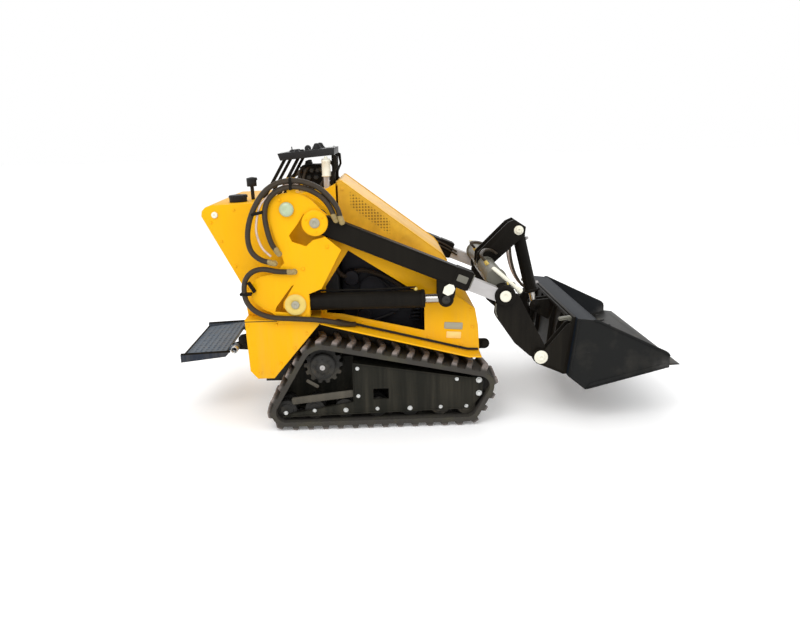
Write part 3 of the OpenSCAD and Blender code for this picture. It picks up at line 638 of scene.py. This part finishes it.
# a thin pale pinkish pipe between the tower hoses: its pale colour is a painted highlight
addPair("paleHighlightPipe", tube(runs["pipe"], 5.5), pipeFinish)
addPair("thinHose", tube(runs["thin"], 5, 10), "hose")
sleeve = turned([(9, 0), (13, 1), (13.6, 3), (13.6, 9), (13, 10), (13.6, 11), (13.6, 19), (13, 20),
                 (12.4, 26)], 18)
nut = turned([(11.5, 0), (12.5, 2), (12.5, 9), (11, 11)], 6)
seat = turned([(14, 0), (14, 3), (11, 4), (11, 17), (9, 20), (4, 21)], 20)
ends, seats = [], []
for key, order in (("outer", 1), ("outer", -1), ("inner", 1), ("inner", -1), ("lower", 1)):
    a, b = np.array(runs[key][::order][:2], float)
    way = (b - a) / np.linalg.norm(b - a)
    foot = a - way * 11
    ends += [aimed(sleeve, a - way * 4, way), aimed(nut, foot, way)]
    seats.append(aimed(seat, [foot[0], -522, foot[2]]))
addPair("hoseEnds", joined(*ends), hoseBrass, soft=0.6)
addPair("hoseSeats", joined(*seats), hoseBrass, soft=0.6)
# clamps: a band over the hoses with a foot on the plate
clamps = joined(*[leaned(pad([x - 28, -547.5, z - 7], [x + 28, -521.5, z + 7], 5, 2), (x, z), turn)
                  for x, z, turn in ((-595, 1188, 90), (-752, 1060, 12), (-800, 722, -60), (-828, 690, 0))])
addPair("hoseClamps", clamps, "black_paint", soft=1)
print("hoses set")

# round covers and pins on the towers
towerCaps = {
    "pivot": [-496, 1010], "plug": [-620, -529, 1074], "plate": [-604, -529.5, 632],
    "basePin": [-604, -534, 632], "cowlBolt": [-970, -411.5, 1045],
    "bolts": [[-570, 575], [-650, 560], [-445, 900], [-650, 1118], [-560, 800]],
}
x, z = towerCaps["pivot"]
ring = roundPlaces((x, z), -537, 42, (0.6, 2.7, 4.8))
cover = disc([(59, 0), (59, 2), (56, 4.5), (30, 5), (28, 3.5), (2, 3.5)], 48, [x, -533.5, z])
addPair("pivotDisc", joined(cover, aimed(bolt(5, 5), ring)), "yellow_paint")
addPair("pivotPin", aimed(cap(23, 7, 0.4), [x, -536, z]), blankPlate)
plug = disc([(33, 0), (33, 4), (30, 9), (22, 13), (12, 15), (1, 15.5)], 32, towerCaps["plug"])
addPair("towerPlug", plug, greenZinc)
plate = disc([(50, 0), (50, 3), (46, 6), (24, 7), (22, 5), (2, 5)], 40, towerCaps["plate"])
addPair("basePlate", plate, paleZinc)
addPair("basePin", aimed(cap(19, 6, 0.4), towerCaps["basePin"]), blankPlate)
addPair("cowlBolt", aimed(cap(15, 9, 0.3), towerCaps["cowlBolt"]), creamCap)
heads = aimed(bolt(7, 7), atDepth(face["tower"], towerCaps["bolts"]))
addPair("towerBolts", heads, "yellow_paint", hard=0)
welds = joined(bead(-515, [[-541, 545], [-541, 600], [-541, 675]], 3.5),
               bead(-523, [[-690, 545], [-705, 588], [-762, 620]], 3),
               bead(-515, [[-690, 562], [-620, 562], [-545, 562]], 4))
addPair("towerWelds", welds, "yellow_paint")
print("tower caps set")

# the yellow body: seams, blank plates, bolts and a black strip at the side plate's foot that paints the
# shadow under the plate's edge
trim = {
    "strip": [[-432, 514], [-419, 516], [210, 353], [264, 351], [264, 361], [212, 364], [-416, 527],
        [-432, 525]],
    "plates": {"greyPlate": [98, 460, 188, 494, blankPlate], "palePlate": [108, 414, 180, 447, palePlate]},
    "frame": [[-455, 545], [-300, 505], [-140, 464], [20, 423], [180, 382], [236, 470], [228, 556],
        [60, 712]],
    "box": [[-835, 535], [-790, 300], [-735, 300], [-690, 345], [-620, 420], [-560, 490], [-700, 535]],
    "cowl": [[-630, 1070], [-700, 1072], [-800, 1070], [-880, 1066], [-990, 1010], [-948, 920], [-890, 800],
        [-843, 690], [-832, 590]],
}
# a black strip where the side plate's edge casts its shadow on the ledge: painted shadow
addPair("footShadowStrip", plateOf(trim["strip"], -412, face["frame"]), "black_plastic", hard=1)
for name, (x0, z0, x1, z1, look) in trim["plates"].items():
    plate = pad([x0, -408.5, z0], [x1, face["frame"], z1], 5, 0.8)
    addPair(name, leaned(plate, ((x0 + x1) / 2, (z0 + z1) / 2), -4), look)
heads = [aimed(bolt(r, h), atDepth(face[key], trim[key]))
         for key, r, h in (("frame", 6, 6), ("box", 6, 6), ("cowl", 5.5, 5))]
addPair("bodyBolts", joined(*heads), "yellow_paint", hard=0)
seam = rod(atDepth(-513.8, [[-849, 552], [-700, 552], [-545, 552]]), 2, 6)
addPair("boxSeam", seam, ("yellow_paint", finishes["black_plastic"]))
print("body trim set")

# the console: a rubber mat, boots and grips, a dial, a key, switches, the valve block and its lines
console = {
    "mat": [[-684, 1309], [-425, 1331], [-425, 1334.5], [-684, 1312.5]],
    "levers": [[-505, -110], [-505, 110]], "dial": [-632, 60], "key": [-632, -70],
    "switches": [[-600, -150], [-575, -150], [-550, -150]],
    "bolts": [[-672, -174], [-672, 174], [-436, -174], [-436, 174]], "canister": [-457, -195],
    "bracket": [[-421, 1304], [-404, 1296], [-401, 1242], [-418, 1204], [-424, 1160], [-440, 1152],
        [-430, 1206], [-412, 1246], [-420, 1290]],
    "lines": [[[-560, -96, 1245], [-590, -120, 1225], [-600, -140, 1180], [-596, -150, 1128]],
        [[-540, -104, 1240], [-560, -140, 1230], [-575, -165, 1180], [-560, -180, 1132]],
        [[-500, -108, 1235], [-488, -160, 1230], [-470, -176, 1190], [-500, -200, 1138]],
        [[-520, 104, 1240], [-560, 140, 1225], [-585, 165, 1180], [-570, 180, 1132]], [[-490, 60, 1248],
        [-462, 60, 1262], [-440, 80, 1230], [-452, 100, 1150]], [[-490, -20, 1248], [-458, -20, 1268],
        [-430, -40, 1235], [-448, -60, 1152]]],
}
trayTilt = math.degrees(math.atan2(23, 276))
up = (0, 0, 1)


def onTray(shape, places, rise=1):
    # copies of a shape drawn round the origin, each set on the tray's slope
    slope = [(x, y, 1311.5 + (x + 684) * 22.5 / 259) for x, y in places]
    return joined(*[leaned(aimed(shape, [x, y, z + rise], up), (x, z), trayTilt) for x, y, z in slope])


addPiece("trayMat", plateOf(console["mat"], -186, 186), "black_plastic", hard=1.2)
boot = turned([(26, 0), (27, 3), (22, 6), (24, 9), (18, 12), (20, 15), (14, 18), (15, 21), (8, 25)], 28)
addPiece("leverBoots", onTray(boot, console["levers"], 0), "black_plastic")
grip = turned([(7, 0), (12, 4), (13, 12), (11, 22), (14, 30), (15, 36), (11, 43), (2, 45)], 24)
addPiece("leverGrips", aimed(grip, [[x, y, 1312] for x, y in console["levers"]], up), "black_plastic")
dial = turned([(27, 0), (27, 6), (24, 9), (23, 7.5), (2, 7.5)], 36)
addPiece("trayDial", onTray(dial, [console["dial"]]), "black_plastic")
key = joined(turned([(15, 0), (15, 3), (11, 6), (10, 9), (2, 9)], 24),
             pad([-2, -8, 7], [2, 8, 25], 4, 0.6, "x"))
addPiece("trayKey", onTray(key, [console["key"]]), "black_plastic")
rocker = pad([-9, -14, 0.5], [9, 14, 8], 3, 2, "z")
addPiece("traySwitches", onTray(rocker, console["switches"], 0), "black_plastic")
addPiece("trayBolts", onTray(bolt(5, 5), console["bolts"]), boltZinc, hard=0)
addPiece("trayBrackets", platesAt(console["bracket"], 8, (-204, 204)), "black_paint", hard=1.5)
addPiece("valveLines", joined(*[tube(run, 6.5, 10) for run in console["lines"]]), "hose")
block = joined(pad([-596, -100, 1170], [-576, 100, 1243], 4, 3, "x"),
               disc([(13, 0), (13, 10), (10, 13), (10, 20), (7, 22)], 16,
                     [[-560, y, 1249] for y in (-70, -20, 30, 80)], up),
               disc([(14, 0), (14, 8), (11, 11), (11, 26)], 6,
                     atDepth(-109, ((-565, 1225), (-535, 1225), (-505, 1225), (-550, 1190), (-515, 1190)))))
addPiece("valveBlock", block, "dark_steel", hard=1)
x, y = console["canister"]
can = turned([(22.5, 0), (22.5, 6), (21.2, 8), (21.2, 70), (22.5, 72), (22.5, 80), (18, 86), (8, 88)], 36)
canister = joined(aimed(can, [x, y, 1197], up), disc([(8, 0), (8, 8), (5, 10)], 6, [x, y, 1284], up))
addPiece("canisterSkin", canister, creamCap)
# ribbed screw caps over the filler necks
for name, place, r in (("lowCap", [-876, -300, 1124], 43.5), ("tallCap", [-822, -200, 1197.5], 25)):
    points, faces = turned([(r, -10), (r, 0), (r * 0.92, 3), (r * 0.6, 4), (r * 0.3, 6), (r * 0.02, 6.5)], 72)
    ridges = 1 + 0.025 * np.sign(np.sin(around(72) * 18))
    points[:144, :2] *= np.tile(ridges, 2)[:, None]
    addPiece(name, aimed((points, faces), place, (-0.03, 0, 1)), "black_plastic", hard=0)
print("console set")

# the hood's rim, bolts, latch and handle, and the hatches of the rear cowl and the nose
hood = {
    "rim": [[-396, 1181], [-385, 1181.5], [98, 814.5], [124, 782]],
    "bolts": [[-385, 990], [-200, 880], [-20, 780], [110, 722], [-380, 1140], [90, 790]],
    "handle": [[126, -150, 730], [143, -146, 730], [148, -120, 730], [148, -80, 730], [143, -54, 730],
        [126, -50, 730]],
}
addPair("hoodRim", rod(atDepth(-283.5, hood["rim"]), 3.5), hoodPaint, "hood")
heads = aimed(bolt(6, 6), atDepth(face["hood"], hood["bolts"]))
addPair("hoodBolts", heads, hoodPaint, "hood", hard=0)
latch = joined(pad([122, -26, 738], [129, 26, 770], 6, 2, "x"),
               pad([127, -14, 744], [136, 14, 752], 3, 1.5, "x"))
addPiece("hoodLatch", latch, "black_plastic", "hood")
addPiece("hoodHandle", tube(hood["handle"], 6, 10, 6), "black_paint", "hood")
cowl = {
    "foot": (-862, 700), "tilt": math.degrees(math.atan2(171, 340)),
    "seal": [[-214, 746], [214, 746], [234, 766], [234, 984], [214, 1004], [-214, 1004], [-234, 984],
        [-234, 766], [-214, 746]],
}


def onCowl(shape):
    # drawn upright, then leaned with the cowl's back
    return leaned(shape, cowl["foot"], cowl["tilt"])


addPiece("cowlHatch", onCowl(pad([-865.5, -230, 750], [-859, 230, 1000], 30, 2, "x")), "yellow_paint")
addPiece("hatchSeal", onCowl(rod([[-862.4, y, z] for y, z in cowl["seal"]], 3.5)), "black_plastic")
fittings = [pad([-868.5, y - 30, 985], [-861, y + 30, 1012], 4, 2, "x") for y in (-150, 150)]
fittings.append(pad([-871, -34, 770], [-864, 34, 790], 5, 3, "x"))
addPiece("hatchFittings", onCowl(joined(*fittings)), "black_plastic")
nose = {"foot": (264, 420), "tilt": 2.7}
hatch = pad([263.5, -190, 385], [270, 190, 460], 14, 2, "x")
addPiece("noseHatch", leaned(hatch, nose["foot"], nose["tilt"]), "yellow_paint")
heads = aimed(bolt(6, 6), [[269, y, z] for y in (-170, 170) for z in (398, 447)], (1, 0, 0))
addPiece("noseBolts", leaned(heads, nose["foot"], nose["tilt"]), boltZinc, hard=0)
print("hood and hatches set")

# behind the side windows: ribs, pulleys [x, z, radius] and a belt, a filter and lines on the engine's side
engine = {
    "ribs": 9, "pulleys": [[-250, 640, 62], [-140, 560, 40], [-290, 500, 34]], "filter": [-350, -229, 706],
    "profile": [(0.3, 0), (1, 2), (1, 6), (0.86, 10), (0.86, 16), (1, 20), (1, 24), (0.8, 25), (0.3, 18)],
    "feed": [[-440, -278, 780], [-385, -290, 715], [-300, -270, 740], [-180, -262, 700], [-90, -255, 640]],
    "drain": [[-440, -278, 600], [-370, -296, 590], [-250, -285, 610], [-120, -280, 560], [-40, -262, 540]],
}
ribs = [pad([-60 + k * 5, -262, 470 + k * 19], [-12, -229, 480 + k * 19], 3, 2)
        for k in range(engine["ribs"])]
pulleys = [disc([(k * r, h) for k, h in engine["profile"]], 32, [x, -232, z])
           for x, z, r in engine["pulleys"]]
can = disc([(36, 0), (38, 4), (38, 60), (34, 68), (20, 70)], 28, engine["filter"])
addPair("engineSide", joined(*ribs, *pulleys, can), "engine", soft=0.8)
(x1, z1, r1), (x2, z2, r2), (x3, z3, r3) = engine["pulleys"]
belt = [[x1 - r1, z1], [x1 - 20, z1 + r1 - 4], [x1 + r1 - 14, z1 + 40], [x2 + 34, z2 + 14],
        [x2 + 10, z2 - r2], [x3, z3 - r3], [x3 - r3, z3 + 6], [x1 - r1, z1]]
addPair("engineBelt", tube(atDepth(-245, belt), 6, 8), "black_plastic")
addPair("engineLines", joined(tube(engine["feed"], 11), tube(engine["drain"], 9)), "hose")
print("engine side set")

# arms: bands, welds, pins, nipples and the lines that run along their inner faces
arms = {
    "pin": [-496, 1010], "tip": [380, 640], "eye": [100, -505, 630], "bucketPin": [556, -481, 333],
    "flag": [[84, 664], [92, 692], [114, 706], [136, 700], [143, 682], [132, 660], [108, 650]],
    "lines": [[120, 30], [300, 26], [500, 26], [690, 26], [800, 10]],
    "nipples": [[-476, -467, 1061], [398, -467, 686]],
}
armTurn = math.degrees(math.atan2(-370, 876))


def alongArm(places):
    # [how far from the pivot, how far above the arm's middle line] turned with the arm into [x, z]
    a = math.radians(armTurn)
    px, pz = arms["pin"]
    return [[px + far * math.cos(a) - rise * math.sin(a), pz + far * math.sin(a) + rise * math.cos(a)]
            for far, rise in places]


def armPad(near, far, low, high, inner, outer, corner, soft):
    # a rounded rectangle on the arm's outer face
    px, pz = arms["pin"]
    plate = pad([px + near, outer, pz + low], [px + far, inner, pz + high], corner, soft)
    return leaned(plate, (px, pz), armTurn)


addPair("armBand", armPad(690, 768, -47, 47, -426, -508, 4, 2), "black_paint", "arms", soft=1)
edges = [rod(atDepth(-504.5, alongArm([[far, rise] for far in (66, 280, 480, 680)])), 3.5)
         for rise in (-42, 42)]
addPair("armEdges", joined(*edges), "black_paint", "arms")
addPair("armPlate", armPad(705, 756, -15, 18, -507.5, -510, 4, 0.8), "grey_paint", "arms")
flag = joined(plateOf(arms["flag"], -511, -501), aimed(bolt(6, 6), [112, -511, 684]))
addPair("eyeFlag", flag, creamCap, "arms", hard=2)
addPair("eyePin", aimed(cap(20, 8, 0.4), arms["eye"]), "dark_steel", "arms")
x, z = arms["tip"]
boss = disc([(27, 0), (27, 3), (24, 6), (12, 7), (10, 5), (1, 5)], 32, [x, -512, z])
addPair("tipBoss", boss, creamCap, "arms")
ring = disc([(49, 0), (49, 2), (46, 5), (32, 5), (29, 2), (29, 0)], 44, [x, -504, z])
addPair("tipRing", ring, "black_paint", "arms")
boss = disc([(37, 0), (37, 1.5), (34, 3), (24, 3)], 36, arms["bucketPin"])
addPair("doglegBoss", boss, "black_paint", "arms")
welds = joined(bead(-502.5, alongArm([[777, 40], [777, 0], [777, -30]]), 3),
               bead(-483, [[340, 600], [338, 560], [346, 532]], 3))
addPair("armWelds", welds, "grey_paint", "arms")
lines = [tube([[x, -419.5, z - drop] for x, z in alongArm(arms["lines"])], 5, 10) for drop in (0, 20)]
addPair("armLines", joined(*lines), "hose", "arms")
nipple = turned([(5, 0), (5, 4), (3, 5), (3, 9), (4, 11), (2, 13)], 12)
addPair("armNipples", aimed(nipple, arms["nipples"], (-0.35, 0, 0.94)), paleZinc, "arms")
print("arms dressed")

# cross tube and horn: collars, ports and hoses, the pale pin at the horn's top, two cream pipes beside the
# tube whose pale colour is a painted highlight
cross = {
    "at": [350, 710], "horn": [522, 888], "ports": (-250, -215, 215, 250),
    "web": [[395, 738], [440, 777], [422, 796], [368, 746]],
    "pipe": [[328, 758], [338, 759], [400, 703], [456, 652]],
}
x, z = cross["at"]
collar = turned([(43, 0), (49, 3), (49, 12), (43, 18)], 40)
ring = turned([(42, 0), (46, 2), (46, 5), (42, 9)], 40)
collars = joined(*[aimed(collar, [x, way * -428, z], (0, way, 0)) for way in (1, -1)],
                 aimed(ring, [[x, -64, z], [x, 55, z]], (0, 1, 0)))
addPiece("crossCollars", collars, "grey_paint", "arms")
port = turned([(11, 0), (11, 14), (8, 16), (8, 26)], 6)
ported = aimed(port, [[x - 18, y, z + 34] for y in cross["ports"]], (-0.5, 0, 0.86))
addPiece("crossPorts", ported, paleZinc, "arms", hard=0)
crossHoses = [tube([[x - 26, y, z + 50], [x - 46, y * 0.9, z + 78], [x - 20, y * 0.6, z + 92],
                    [x + 20, y * 0.4, z + 84], [x + 52, y * 0.32, z + 62]], 7) for y in cross["ports"]]
addPiece("crossHoses", joined(*crossHoses), "hose", "arms")
addPiece("hornWeb", plateOf(cross["web"], -39, 39), "black_paint", "arms", hard=1.5)
stayRing = turned([(14, 0), (20, 2), (20, 8), (14, 10)], 28)
pinRing = turned([(25, 0), (25, 3), (22, 5), (15, 5)], 32)
coupling = turned([(13, 0), (14, 2), (14, 10), (12, 11), (12, 13), (14, 14), (14, 24), (11, 26)], 20)
x, z = cross["horn"]
stays = []
for side, way in (("right", -1), ("left", 1)):
    outwards = (0, way, 0)
    pin = joined(aimed(pinRing, [x, way * 52.5, z], outwards), aimed(cap(17, 11), [x, way * 53, z], outwards))
    addPiece("hornPin_" + side, pin, creamCap, "arms")
    # a cream pipe whose pale colour is a painted highlight
    pipe = joined(tube(atDepth(way * 455, cross["pipe"]), 10, 14, 6),
                  aimed(coupling, [444, way * 455, 663], (128, 0, -115)))
    addPiece("glintPipe_" + side, pipe, creamCap, "arms")
    stays.insert(0, aimed(stayRing, [424, way * -428, 672], outwards))
addPiece("stayCollars", joined(*stays), "grey_paint", "arms")
print("cross tube and horn set")

# the cylinders: an end ring, a port and a steel line on each barrel, a wiper ring at its mouth
lift = {"foot": [-604, 0, 632], "turn": math.degrees(math.atan2(-2, 704)), "length": math.hypot(704, 2) - 98}
tilt = {"foot": [522, 0, 888], "turn": math.degrees(math.atan2(-409, 99)), "length": math.hypot(99, 409) - 71}


def laid(shape, cylinder):
    # drawn along +X from the origin, then leaned and moved to the cylinder's base pin
    return aimed(leaned(shape, (0, 0), cylinder["turn"]), cylinder["foot"], up)


def cylinderTrim(r, cylinder, y):
    # rings and ports for a barrel of radius r
    length = cylinder["length"]
    mouth = turned([(r, 0), (r + 3, 1.5), (r + 3, 14), (r + 1, 17), (r, 17)], 40)
    base = turned([(r, 0), (r + 2, 1.5), (r + 2, 9), (r, 11)], 40)
    rings = joined(aimed(mouth, [length - 20, y, 0], (1, 0, 0)), aimed(base, [34, y, 0], (1, 0, 0)))
    port = turned([(9, 0), (9, 8), (7, 10), (7, 16)], 6)
    return laid(rings, cylinder), laid(aimed(port, [[60, y, r - 1], [length - 42, y, r - 1]], up), cylinder)


rings, ports = cylinderTrim(42, lift, -467)
addPair("liftRings", rings, "black_paint", "lift_barrel_{}")
addPair("liftPorts", ports, paleZinc, "lift_barrel_{}")
length = lift["length"]
line = [[length - 42, 54], [length - 60, 57], [length * 0.6, 51], [length * 0.3, 51], [84, 54], [70, 62]]
addPair("liftPipe", laid(tube(atDepth(-467, line), 4.5, 10, 6), lift), "black_paint", "lift_barrel_{}")
rings, ports = cylinderTrim(33, tilt, 0)
addPiece("tiltRings", rings, "black_paint", "tilt_barrel")
addPiece("tiltPorts", ports, "pale_metal", "tilt_barrel")
for name, y, look in (("tiltHose1", -44, "hose"), ("tiltHose2", 44, ("hose", pipeFinish[1]))):
    run = [[20, y, -34], [55, y, -58], [130, y * 1.1, -72], [215, y * 1.1, -70], [280, y, -52],
           [305, y * 0.6, -36]]
    addPiece(name, laid(tube(run, 7), tilt), look, "tilt_barrel")
print("cylinders set")

# the hitch: pins, rims, latch levers and ribs
hitch = {
    "pin": [556, 333], "rim": [[534, 306], [632, 263], [668, 246]],
    "rib": [[671, 262], [704, 508], [695, 506], [672, 430], [658, 300]], "ribs": (-300, -150, 150, 300),
}
x, z = hitch["pin"]
pin = joined(disc([(33, 0), (33, 3), (30, 5), (22, 5)], 36, [x, -502, z]), aimed(cap(21, 9), [x, -503, z]))
addPair("hitchPin", pin, creamCap, "bucket")
rims = joined(rod(atDepth(-498, hitch["rim"]), 4), bead(-490, [[680, 488], [676, 400], [670, 260]], 4))
addPair("hitchRims", rims, "black_paint", "bucket")
lever = joined(leaned(pad([640, -492, 515], [700, -470, 531], 6, 3), (700, 520), 8),
               disc([(12, 0), (12, 12), (9, 15)], 20, [694, -470, 516]))
addPair("latchLever", lever, "grey_paint", "bucket")
addPiece("hitchRibs", platesAt(hitch["rib"], 5, hitch["ribs"]), "black_paint", "bucket", hard=1)
boss = turned([(27, 0), (27, 3), (24, 5), (15, 5), (14, 9), (2, 10)], 32)
bosses = joined(*[aimed(boss, [621, way * 37.5, 479], (0, way, 0)) for way in (-1, 1)])
addPiece("tiltLugBoss", bosses, "black_paint", "bucket")
heads = aimed(bolt(6, 6), [[695, y, 512] for y in (-400, -220, 220, 400)], (-1, 0, 0))
bar = leaned(joined(pad([694, -425, 503], [707, 425, 521], 4, 1.5), heads), (704, 512), -7.6)
addPiece("hitchTopBar", bar, "black_paint", "bucket", hard=1)

# the bucket: rims, wear plates, welds, ribs, edge bolts and skid strips
bucket = {
    "wear": [[772, 186], [1160, 282], [1150, 296], [1010, 263], [790, 208]],
    "rib": [[719, 519], [809, 509], [809, 486], [737, 488]], "ribs": (-420, -210, 0, 210, 420),
    "skid": [[800, 184], [1060, 248], [1060, 240], [800, 176]], "skids": (-400, -200, 0, 200, 400),
}
top = atDepth(-541, [[797, 517], [812, 516], *np.linspace([830, 507], [1150, 350], 8), [1166, 332]])
rims = [rod(atDepth(-540.5, np.linspace(first, last, count)), 5)
        for first, last, count in (([772, 180], [1164, 279], 6), ([688, 250], [724, 522], 5))]
addPair("bucketRim", joined(tube(top, 5.5, 10, 4), *rims), "bucket_paint", "bucket")
addPair("wearPlate", plateOf(bucket["wear"], -543, -539), "bucket_paint", "bucket", hard=2)
welds = joined(bead(-530, [[738, 500], [705, 280], [700, 252]], 4),
               bead(-530, [[700, 254], [768, 190], [900, 222], [1150, 284]], 4))
addPair("bucketWelds", welds, "bucket_paint", "bucket")
bar = rod([[809, y, 512] for y in np.linspace(-528, 528, 9)], 7, 10)
ribs = joined(platesAt(bucket["rib"], 4, bucket["ribs"]), bar)
addPiece("bucketTopRibs", ribs, "bucket_paint", "bucket", hard=1)
spots = [[1108, y, 185 + (1108 - 768) * 105 / 422 + 11.5] for y in np.arange(-472, 473, 118)]
heads = disc([(13, 0), (13, 3), (9, 6), (2, 6.5)], 16, spots, (-0.24, 0, 0.97))
addPiece("edgeBolts", heads, "dark_steel", "bucket")
skids = platesAt(bucket["skid"], 25, bucket["skids"])
addPiece("skidStrips", skids, "bucket_paint", "bucket", hard=2)
print("hitch and bucket set")

# the platform: raised studs, rolled lips, ribs below, springs at its hinge and rubber stops
platform = {
    "rows": 7, "columns": 18, "from": [-1018, 347.2], "to": [-1200, 324.4], "half": 285,
    "side": [[-972, 351], [-1090, 347], [-1217, 342]], "ribs": (-160, 0, 160),
    "rib": [[-1005, 329], [-1190, 306], [-1190, 300], [-1060, 300], [-1005, 318]],
}
across = np.linspace(-platform["half"], platform["half"], platform["columns"])
rows = np.linspace(platform["from"], platform["to"], platform["rows"])
spots = [[x, y + (16 if k % 2 else 0) - 8, z - 0.4] for k, (x, z) in enumerate(rows) for y in across]
stud = turned([(7, 0), (6, 2.4), (3.4, 3), (3, 2), (0.4, 2)], 12)
addPiece("platformStuds", aimed(stud, spots, (-0.124, 0, 0.992)), "platform_grey", "platform", hard=0)
lips = [rod(atDepth(y, platform["side"]), 6.5, 10) for y in (-314, 314)]
lips.insert(0, rod([[-1217, y, 323] for y in np.linspace(-312, 312, 7)], 5, 10))
addPiece("platformLips", joined(*lips), "black_paint", "platform")
ribs = platesAt(platform["rib"], 4, platform["ribs"])
addPiece("platformRibs", ribs, "black_paint", "platform", hard=1)
coil = np.linspace(0, 2 * np.pi * 7, 180)   # seven turns
path = np.stack([-962 + 15.5 * np.cos(coil), -232 - 30 * coil / coil[-1], 342 + 15.5 * np.sin(coil)], -1)
addPair("hingeSpring", rod(path, 2.2), boltZinc)
stop = disc([(16, 0), (16, 8), (13, 14), (9, 16)], 24, [-838, -110, 330], (-1, 0, 0))
addPair("rubberStop", stop, "black_plastic")
print("platform set")

# worn rings round the tie-down eyes
ring = turned([(13.2, 0), (17, 1), (17, 3), (13.2, 4)], 24)
addPair("tieRings", aimed(ring, [[300, -382, 372], [-872, -454, 450]]), "black_paint")
print("small parts set")

# floor, light and camera
floorMesh = bpy.data.meshes.new("floor")
floorMesh.from_pydata([(-40, -40, 0), (40, -40, 0), (40, 40, 0), (-40, 40, 0)], [], [(0, 1, 2, 3)])
floor = Finish("paleFloor")
floorMesh.materials.append(floor.done(
    Base_Color=floor.blend(floor.noise(3), (0.90, 0.90, 0.90), (0.94, 0.94, 0.94)), Roughness=0.8,
    Specular_IOR_Level=0.1, Emission_Color=(1, 1, 1, 1), Emission_Strength=0.12))
linked("floor", floorMesh)

world = bpy.data.worlds.new("studio")
scene.world = world
world.use_nodes = True
background = world.node_tree.nodes["Background"].inputs
background["Color"].default_value = (1, 1, 1, 1)
background["Strength"].default_value = 1.0

lamps = {
    "key": {"at": (-1.6, -3.4, 4.2), "aim": (0.1, 0, 0.5), "size": 2.6, "power": 95},
    "fill": {"at": (3.2, -3.0, 2.2), "aim": (0.3, 0, 0.5), "size": 3.0, "power": 25},
    "rim": {"at": (0.5, 4.0, 3.4), "aim": (0, 0, 0.8), "size": 3.0, "power": 60},
}
for name, lamp in lamps.items():
    light = bpy.data.lights.new(name, "AREA")
    light.size, light.energy = lamp["size"], lamp["power"]
    item = linked(name, light)
    item.location = lamp["at"]
    item.rotation_euler = (Vector(lamp["aim"]) - Vector(lamp["at"])).to_track_quat("-Z", "Y").to_euler()

# the camera stands square to the right side, a little above, 3.87 m out
view = {"at": (-0.189, -3.87, 1.403), "turnRight": 1.2, "down": 13.9, "roll": -1.35, "focal": 735 / 800 * 36}
turns = (("Z", -view["turnRight"]), ("X", 90 - view["down"]), ("Z", view["roll"]))
yaw, pitch, roll = (Matrix.Rotation(math.radians(degrees), 4, axis) for axis, degrees in turns)
lens = bpy.data.cameras.new("camera")
lens.lens, lens.sensor_width = view["focal"], 36
camera = linked("camera", lens)
camera.matrix_world = Matrix.Translation(view["at"]) @ yaw @ pitch @ roll
scene.camera = camera
print("stage set")
